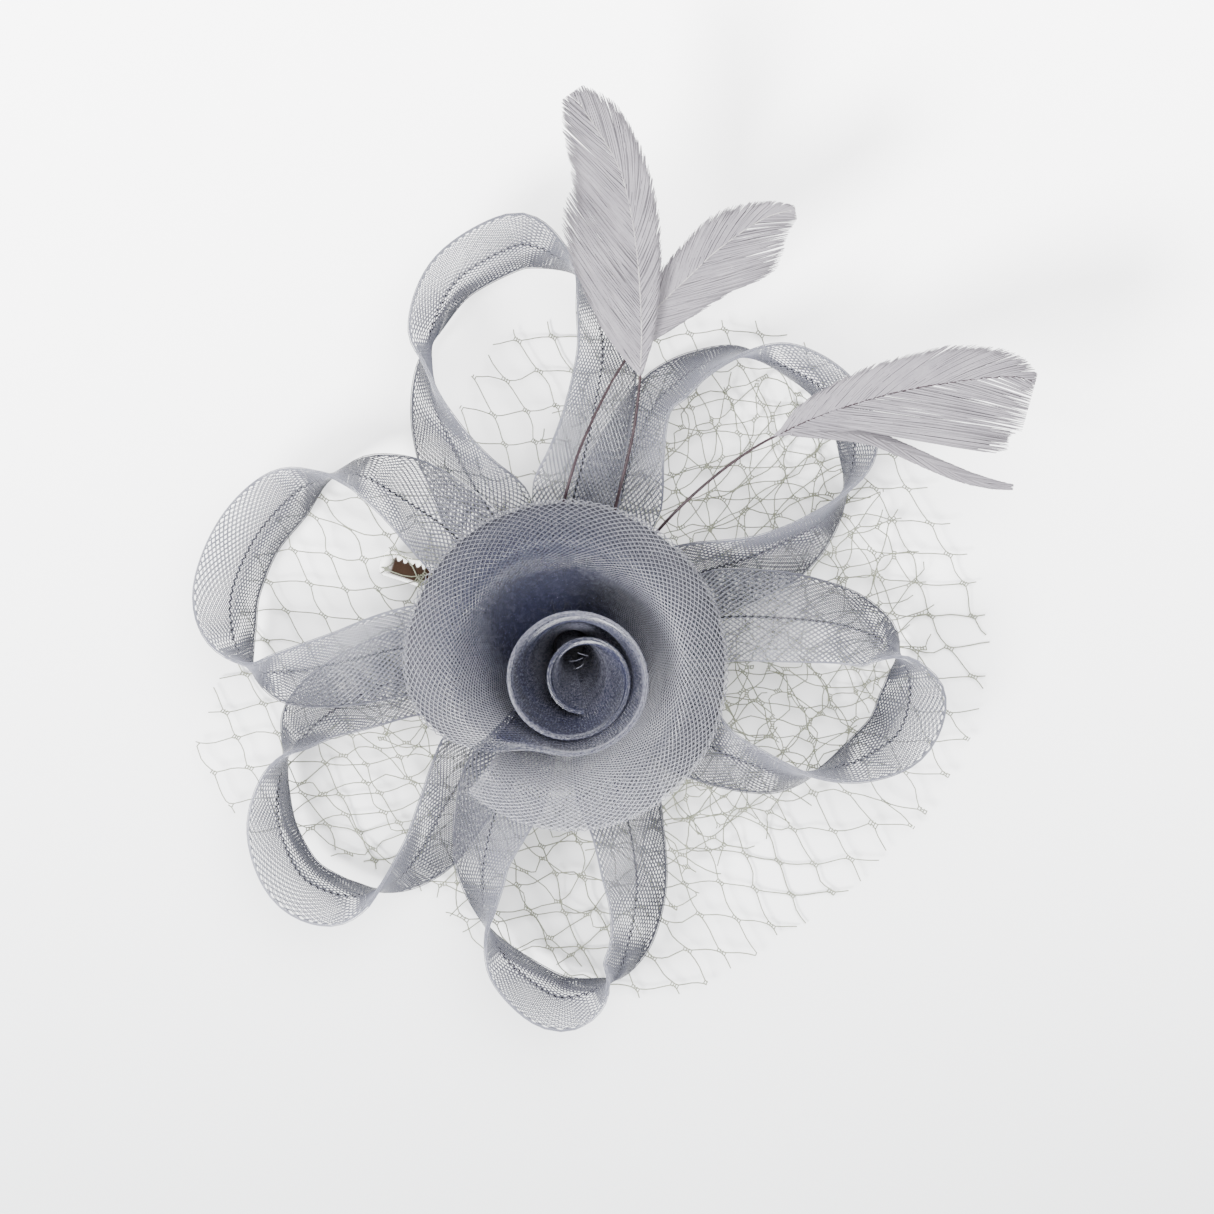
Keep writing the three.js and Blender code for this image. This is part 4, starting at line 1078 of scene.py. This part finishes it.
def vane_barbs(rows, length, settings, sweep, random):
    """Barbs on both sides of a shaft, swept towards its tip, in clumps that part at the edge.

    Past the shaft's end they fan in from the vane's full width to the tip.
    """
    shaft, row = feather_shaft(rows, length, np.linspace(0, 1, SHAFT_SAMPLES))
    run = run_along(shaft)
    travel = unit(np.gradient(shaft, axis=0))
    leftward = unit(np.column_stack([-travel[:, 1], travel[:, 0], np.zeros(len(travel))]))
    t = np.linspace(0, 1, len(BARB_GIRTHS))[:, None]
    paths, girths = [], []
    for side, column in ((1, "left"), (-1, "right")):
        widths = row[column] * length
        first = run[np.argmax(widths > BARB_LEAST)]
        span = run[-1] - first + widths[-1]
        count = int(span / (settings.barb_spacing / MM))
        clump = np.round(np.arange(count) / BARBS_IN_CLUMP)
        shift = random.normal(0, CLUMP_SHIFT, int(clump[-1]) + 1)[clump.astype(int)]
        shift += random.normal(0, BARB_SHIFT, count)
        even = first + span * (np.arange(count) + 0.5) / count
        gathered = np.interp(clump * BARBS_IN_CLUMP, np.arange(count), even)
        for place, tip_at in zip(even, mix(even, gathered, CLUMP_PULL) + shift):
            tip_run = min(tip_at, run[-1])
            width = max(np.interp(tip_run, run, widths) - max(tip_at - run[-1], 0), BARB_SHORTEST)
            late = ((tip_run - first) / (run[-1] - first)) ** BARB_SWEEP_POWER
            lean = sweep * (1 + BARB_TIP_SWEEP * late)
            lowest = first - BARB_ROOTS + random.uniform(0, BARB_ROOTS)
            root_run = max(min(place, run[-1]) - lean * width, lowest)
            out = side * point_at(leftward, run, tip_run)
            reach = width * random.uniform(*BARB_REACH)
            root = point_at(shaft, run, root_run)
            bend = point_at(shaft, run, (root_run + tip_run) / 2) + out * BARB_BEND * reach
            bend[2] -= VANE_DROOP * BARB_BEND_DROOP * reach
            tip = point_at(shaft, run, tip_run) + out * reach
            tip[2] -= VANE_DROOP * reach
            line = (1 - t) ** 2 * root + 2 * t * (1 - t) * bend + t ** 2 * tip
            line[:, 2] += random.normal(0, BARB_SCATTER)
            paths.append(line)
            girths.append(BARB_GIRTHS)
    return paths, girths


def make_feather(name, settings):
    sizes = FEATHERS[name]
    random = np.random.default_rng(len(name) * FEATHER_SEED)
    barbs, girths = vane_barbs(sizes["rows"], sizes["length"], settings, settings.sweep, random)
    if "split" in sizes:
        paths, widths = vane_barbs(sizes["split"], sizes["length"], settings, SPLIT_SWEEP, random)
        barbs += paths
        girths += widths
    shaft, row = feather_shaft(sizes["rows"], sizes["length"], np.linspace(0, 1, SHAFT_POINTS))
    start = np.argmax(row["left"] * sizes["length"] > BARB_LEAST)
    taper = np.linspace(1, SHAFT_TIP, SHAFT_POINTS)
    vane = strands(name + "_vane", barbs, settings.barb / MM, MATERIALS["barb"], girths=girths)
    shown(vane, "feather", name)
    quill = settings.quill / MM
    raised = shaft[start:] + [0, 0, SHAFT_RISE]
    for part, line, girth, finish, thinning in (
            ("_shaft", raised, quill * SHAFT_SHARE, sizes["shaft"], taper[start:]),
            ("_stem", shaft[:start + 1], quill, "stem", taper[:start + 1])):
        shown(strands(name + part, [line], girth, MATERIALS[finish], SHAFT_SIDES, [thinning]), "feather")


def make_loose_ends(settings):
    """Cut ends of filament that stand up behind the rose's tube and inside it."""
    random = np.random.default_rng(LOOSE_SEED)
    for name, count, low, high, lean, longest, material in LOOSE_ENDS:
        paths = []
        for _ in range(count):
            root = random.uniform(low, high)
            way = unit(np.array(lean) + random.normal(0, LOOSE_SPREAD, 3))
            bend = random.normal(0, 1, 3) * LOOSE_BEND
            t = np.linspace(0, 1, LOOSE_POINTS)[:, None]
            paths.append(root + way * t * random.uniform(LOOSE_SHORTEST, 1) * longest + bend * t ** 2)
        piece = strands(name, paths, settings.rose_filament / MM * LOOSE_GIRTH, MATERIALS[material])
        shown(piece, "rose_braid")


def plain(name, corners, material):
    """A flat stage surface through corners, in metres."""
    mesh = bpy.data.meshes.new(name)
    mesh.from_pydata(corners, [], [tuple(range(len(corners)))])
    mesh.materials.append(material)
    made = bpy.data.objects.new(name, mesh)
    bpy.context.scene.collection.objects.link(made)


def area_light(name, place, target, size, power):
    lamp = bpy.data.lights.new(name, "AREA")
    lamp.shape = "DISK"
    lamp.size = size
    lamp.energy = power
    made = bpy.data.objects.new(name, lamp)
    made.location = place
    made.rotation_euler = (Vector(target) - Vector(place)).to_track_quat("-Z", "Y").to_euler()
    bpy.context.scene.collection.objects.link(made)


# Settings

def length(name, description, default, **limits):
    return FloatProperty(name=name, description=description, default=default, subtype="DISTANCE",
                         unit="LENGTH", precision=5, **limits)


def colour(name, description, default):
    return FloatVectorProperty(name=name, description=description, default=default, subtype="COLOR",
                               min=0.0, max=1.0)


class BraidSettings(bpy.types.PropertyGroup):
    pitch: length("Pitch", "Spacing of the filaments across a loop's ribbon", 0.0015, min=0.0005)
    rose_pitch: length("Rose pitch", "Spacing of the filaments across the rose's band", 0.00108, min=0.0005)
    weave_pitch: length("Weave pitch", "Spacing of the finer lines between them", 0.0009, min=0.0003)
    filament: length("Filament", "Diameter of one filament of a loop", 0.00032, min=0.0001)
    rose_filament: length("Rose filament", "Diameter of one filament of the rose", 0.00026, min=0.0001)
    depth: length("Depth", "Distance between the braid's two layers", 0.0008, min=0.0)
    thread: length("Thread", "Diameter of the gathering thread", 0.0006, min=0.0001)
    thread_sway: length("Thread sway", "How far the stitches sway to each side", 0.0004, min=0.0)
    lean: FloatProperty(
        name="Lean", description="Angle between a filament and the ribbon's length", default=0.6,
        min=0.2, max=1.2, subtype="ANGLE", unit="ROTATION")
    rose_lean: FloatProperty(
        name="Rose lean", description="Angle between a filament and the rose band's length", default=0.5,
        min=0.2, max=1.2, subtype="ANGLE", unit="ROTATION")
    # Each dark and pale pair paints shade and light into the braid: dark where it is shaded, pale where
    # light falls.
    loop_braid_dark: colour("Loop dark", "A loop's braid low down", (0.027, 0.028, 0.04))
    loop_braid_pale: colour("Loop pale", "A loop's braid along its upper edge", (0.112, 0.114, 0.14))
    rose_heart_dark: colour("Tube dark", "The rose's tube at its inner rim", (0.013, 0.014, 0.028))
    rose_heart_pale: colour("Tube pale", "The rose's tube at its outer rim", (0.12, 0.12, 0.145))
    rose_ring_dark: colour("Ring dark", "The rose's ring round its funnel", (0.012, 0.013, 0.026))
    rose_ring_pale: colour("Ring pale", "The rose's ring towards its edge", (0.14, 0.14, 0.162))


class NetSettings(bpy.types.PropertyGroup):
    cell: length("Cell", "Side of one cell of the net", 0.0107, min=0.004)
    ladder: length("Ladder", "Length of the ladder where two threads are knotted", 0.0023, min=0.001)
    ladder_width: length("Ladder width", "Distance between a ladder's two threads", 0.0011, min=0.0004)
    thread: length("Thread", "Diameter of the net's thread", 0.00046, min=0.0001)
    ripple: length("Ripple", "How far the layers ripple above the surface", 0.0014, min=0.0)
    dark: colour("Net dark", "The darkest of the thread's grain", (0.085, 0.09, 0.062))
    pale: colour("Net pale", "The palest of the thread's grain", (0.15, 0.157, 0.118))


class FeatherSettings(bpy.types.PropertyGroup):
    barb_spacing: length("Barb spacing", "Spacing of the barbs' tips along the shaft", 0.00017, min=0.0001)
    barb: length("Barb", "Diameter of a barb at its root", 0.0006, min=0.0001)
    quill: length("Quill", "Diameter of the shaft at its root", 0.0011, min=0.0003)
    sweep: FloatProperty(
        name="Sweep", description="How far a barb runs towards the tip for each part that it runs out",
        default=1.7, min=0.5, max=4.0)
    dark: colour("Barb dark", "The darkest patches of a vane", (0.075, 0.068, 0.08))
    pale: colour("Barb pale", "The palest patches of a vane", (0.19, 0.178, 0.192))


class StageSettings(bpy.types.PropertyGroup):
    view_width: length("View width", "Width of the floor that the camera sees", 0.364, min=0.1)
    camera_height: length("Camera height", "Height of the camera over the floor", 2.4, min=0.5)
    sharp_height: length("Sharp height", "Height over the floor where the view is as wide as stated", 0.028)
    aim_x: length("Aim X", "Point under the camera, to the right of the origin", -0.0013)
    aim_y: length("Aim Y", "Point under the camera, above the origin", -0.0135)
    daylight: FloatProperty(
        name="Daylight", description="Strength of the even light all round", default=3.6, min=0.0)


MATERIALS = {}


class PieceOperator:
    """What every operator here shares."""
    bl_options = {"REGISTER"}

    @classmethod
    def poll(cls, context):
        return context.scene is not None


class FASCINATOR_OT_materials(PieceOperator, bpy.types.Operator):
    """Make the materials and give the clip and the felt theirs"""
    bl_idname = "fascinator.materials"
    bl_label = "Materials"

    def execute(self, context):
        braid = context.scene.fascinator_braid
        net = context.scene.fascinator_net
        feathers = context.scene.fascinator_feathers
        for name, (tint, shine, weave) in BRAIDS.items():
            colours = [tuple(getattr(braid, name + end)) for end in ("_dark", "_pale")]
            MATERIALS[name] = braid_material(name, tint, shine, colours)
            if weave:
                MATERIALS[name + "_weave"] = weave_material(
                    name + "_weave", tint, weave, braid.weave_pitch, braid.rose_lean)
        for name, finish in FINISHES.items():
            MATERIALS[name] = grain_material(*finish)
        MATERIALS["net"] = grain_material(
            "net_thread", 700, 2, [tuple(net.dark), tuple(net.pale)], 0.62, 0.3, (0.4, 0.0002))
        MATERIALS["barb"] = barb_material(tuple(feathers.dark), tuple(feathers.pale))
        MATERIALS["chrome"] = chrome_material()
        for node, name in SOLID_FINISHES.items():
            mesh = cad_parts[node].data
            mesh.materials.clear()
            mesh.materials.append(MATERIALS[name])
        return {"FINISHED"}


class FASCINATOR_OT_loops(PieceOperator, bpy.types.Operator):
    """Weave the six ribbon loops"""
    bl_idname = "fascinator.loops"
    bl_label = "Loops"

    def execute(self, context):
        for name in LOOPS:
            make_loop(name, context.scene.fascinator_braid)
        return {"FINISHED"}


class FASCINATOR_OT_rose(PieceOperator, bpy.types.Operator):
    """Weave the rose and its loose ends"""
    bl_idname = "fascinator.rose"
    bl_label = "Rose"

    def execute(self, context):
        make_rose(context.scene.fascinator_braid)
        make_loose_ends(context.scene.fascinator_braid)
        return {"FINISHED"}


class FASCINATOR_OT_veil(PieceOperator, bpy.types.Operator):
    """Knot the veil's layers of net"""
    bl_idname = "fascinator.veil"
    bl_label = "Veil"

    def execute(self, context):
        make_veil(context.scene.fascinator_net)
        return {"FINISHED"}


class FASCINATOR_OT_feathers(PieceOperator, bpy.types.Operator):
    """Grow the three feathers"""
    bl_idname = "fascinator.feathers"
    bl_label = "Feathers"

    def execute(self, context):
        for name in FEATHERS:
            make_feather(name, context.scene.fascinator_feathers)
        return {"FINISHED"}


class FASCINATOR_OT_stage(PieceOperator, bpy.types.Operator):
    """Set the floor, the soft light and the camera"""
    bl_idname = "fascinator.stage"
    bl_label = "Stage"

    def execute(self, context):
        settings = context.scene.fascinator_stage
        corners = [(FLOOR_REACH * x, FLOOR_REACH * y, 0) for x, y in ((-1, -1), (1, -1), (1, 1), (-1, 1))]
        plain("floor", corners, floor_material())
        aim = (settings.aim_x, settings.aim_y, 0)
        for name, (place, size, power) in LAMPS.items():
            area_light(name, place, aim, size, power)
        world = bpy.data.worlds.new("daylight")
        world.use_nodes = True
        sky = world.node_tree.nodes["Background"]
        sky.inputs["Color"].default_value = (0.98, 0.99, 1.0, 1)
        sky.inputs["Strength"].default_value = settings.daylight
        context.scene.world = world
        lens = bpy.data.cameras.new("camera")
        lens.sensor_width = 36
        distance = settings.camera_height - settings.sharp_height
        lens.lens = lens.sensor_width * distance / settings.view_width
        camera = bpy.data.objects.new("camera", lens)
        camera.location = (settings.aim_x, settings.aim_y, settings.camera_height)
        context.scene.collection.objects.link(camera)
        context.scene.camera = camera
        return {"FINISHED"}


class FASCINATOR_PT_panel(bpy.types.Panel):
    """The fascinator's settings and its steps, in order"""
    bl_idname = "FASCINATOR_PT_panel"
    bl_label = "Fascinator"
    bl_space_type = "VIEW_3D"
    bl_region_type = "UI"
    bl_category = "Fascinator"

    def draw(self, context):
        for name in GROUPS:
            box = self.layout.box()
            group = getattr(context.scene, name)
            for setting in group.bl_rna.properties:
                if setting.identifier not in {"rna_type", "name"}:
                    box.prop(group, setting.identifier)
        for operator in OPERATORS:
            self.layout.operator(operator.bl_idname)


GROUPS = {
    "fascinator_braid": BraidSettings,
    "fascinator_net": NetSettings,
    "fascinator_feathers": FeatherSettings,
    "fascinator_stage": StageSettings,
}
OPERATORS = (
    FASCINATOR_OT_materials, FASCINATOR_OT_loops, FASCINATOR_OT_rose, FASCINATOR_OT_veil,
    FASCINATOR_OT_feathers, FASCINATOR_OT_stage,
)


def register():
    for made in (*GROUPS.values(), *OPERATORS, FASCINATOR_PT_panel):
        bpy.utils.register_class(made)
    for name, group in GROUPS.items():
        setattr(bpy.types.Scene, name, PointerProperty(type=group))


def unregister():
    for name in GROUPS:
        delattr(bpy.types.Scene, name)
    for made in reversed((*GROUPS.values(), *OPERATORS, FASCINATOR_PT_panel)):
        bpy.utils.unregister_class(made)


def main():
    register()
    bpy.ops.fascinator.materials()
    bpy.ops.fascinator.loops()
    bpy.ops.fascinator.rose()
    bpy.ops.fascinator.veil()
    bpy.ops.fascinator.feathers()
    bpy.ops.fascinator.stage()


if __name__ == "__main__":
    main()
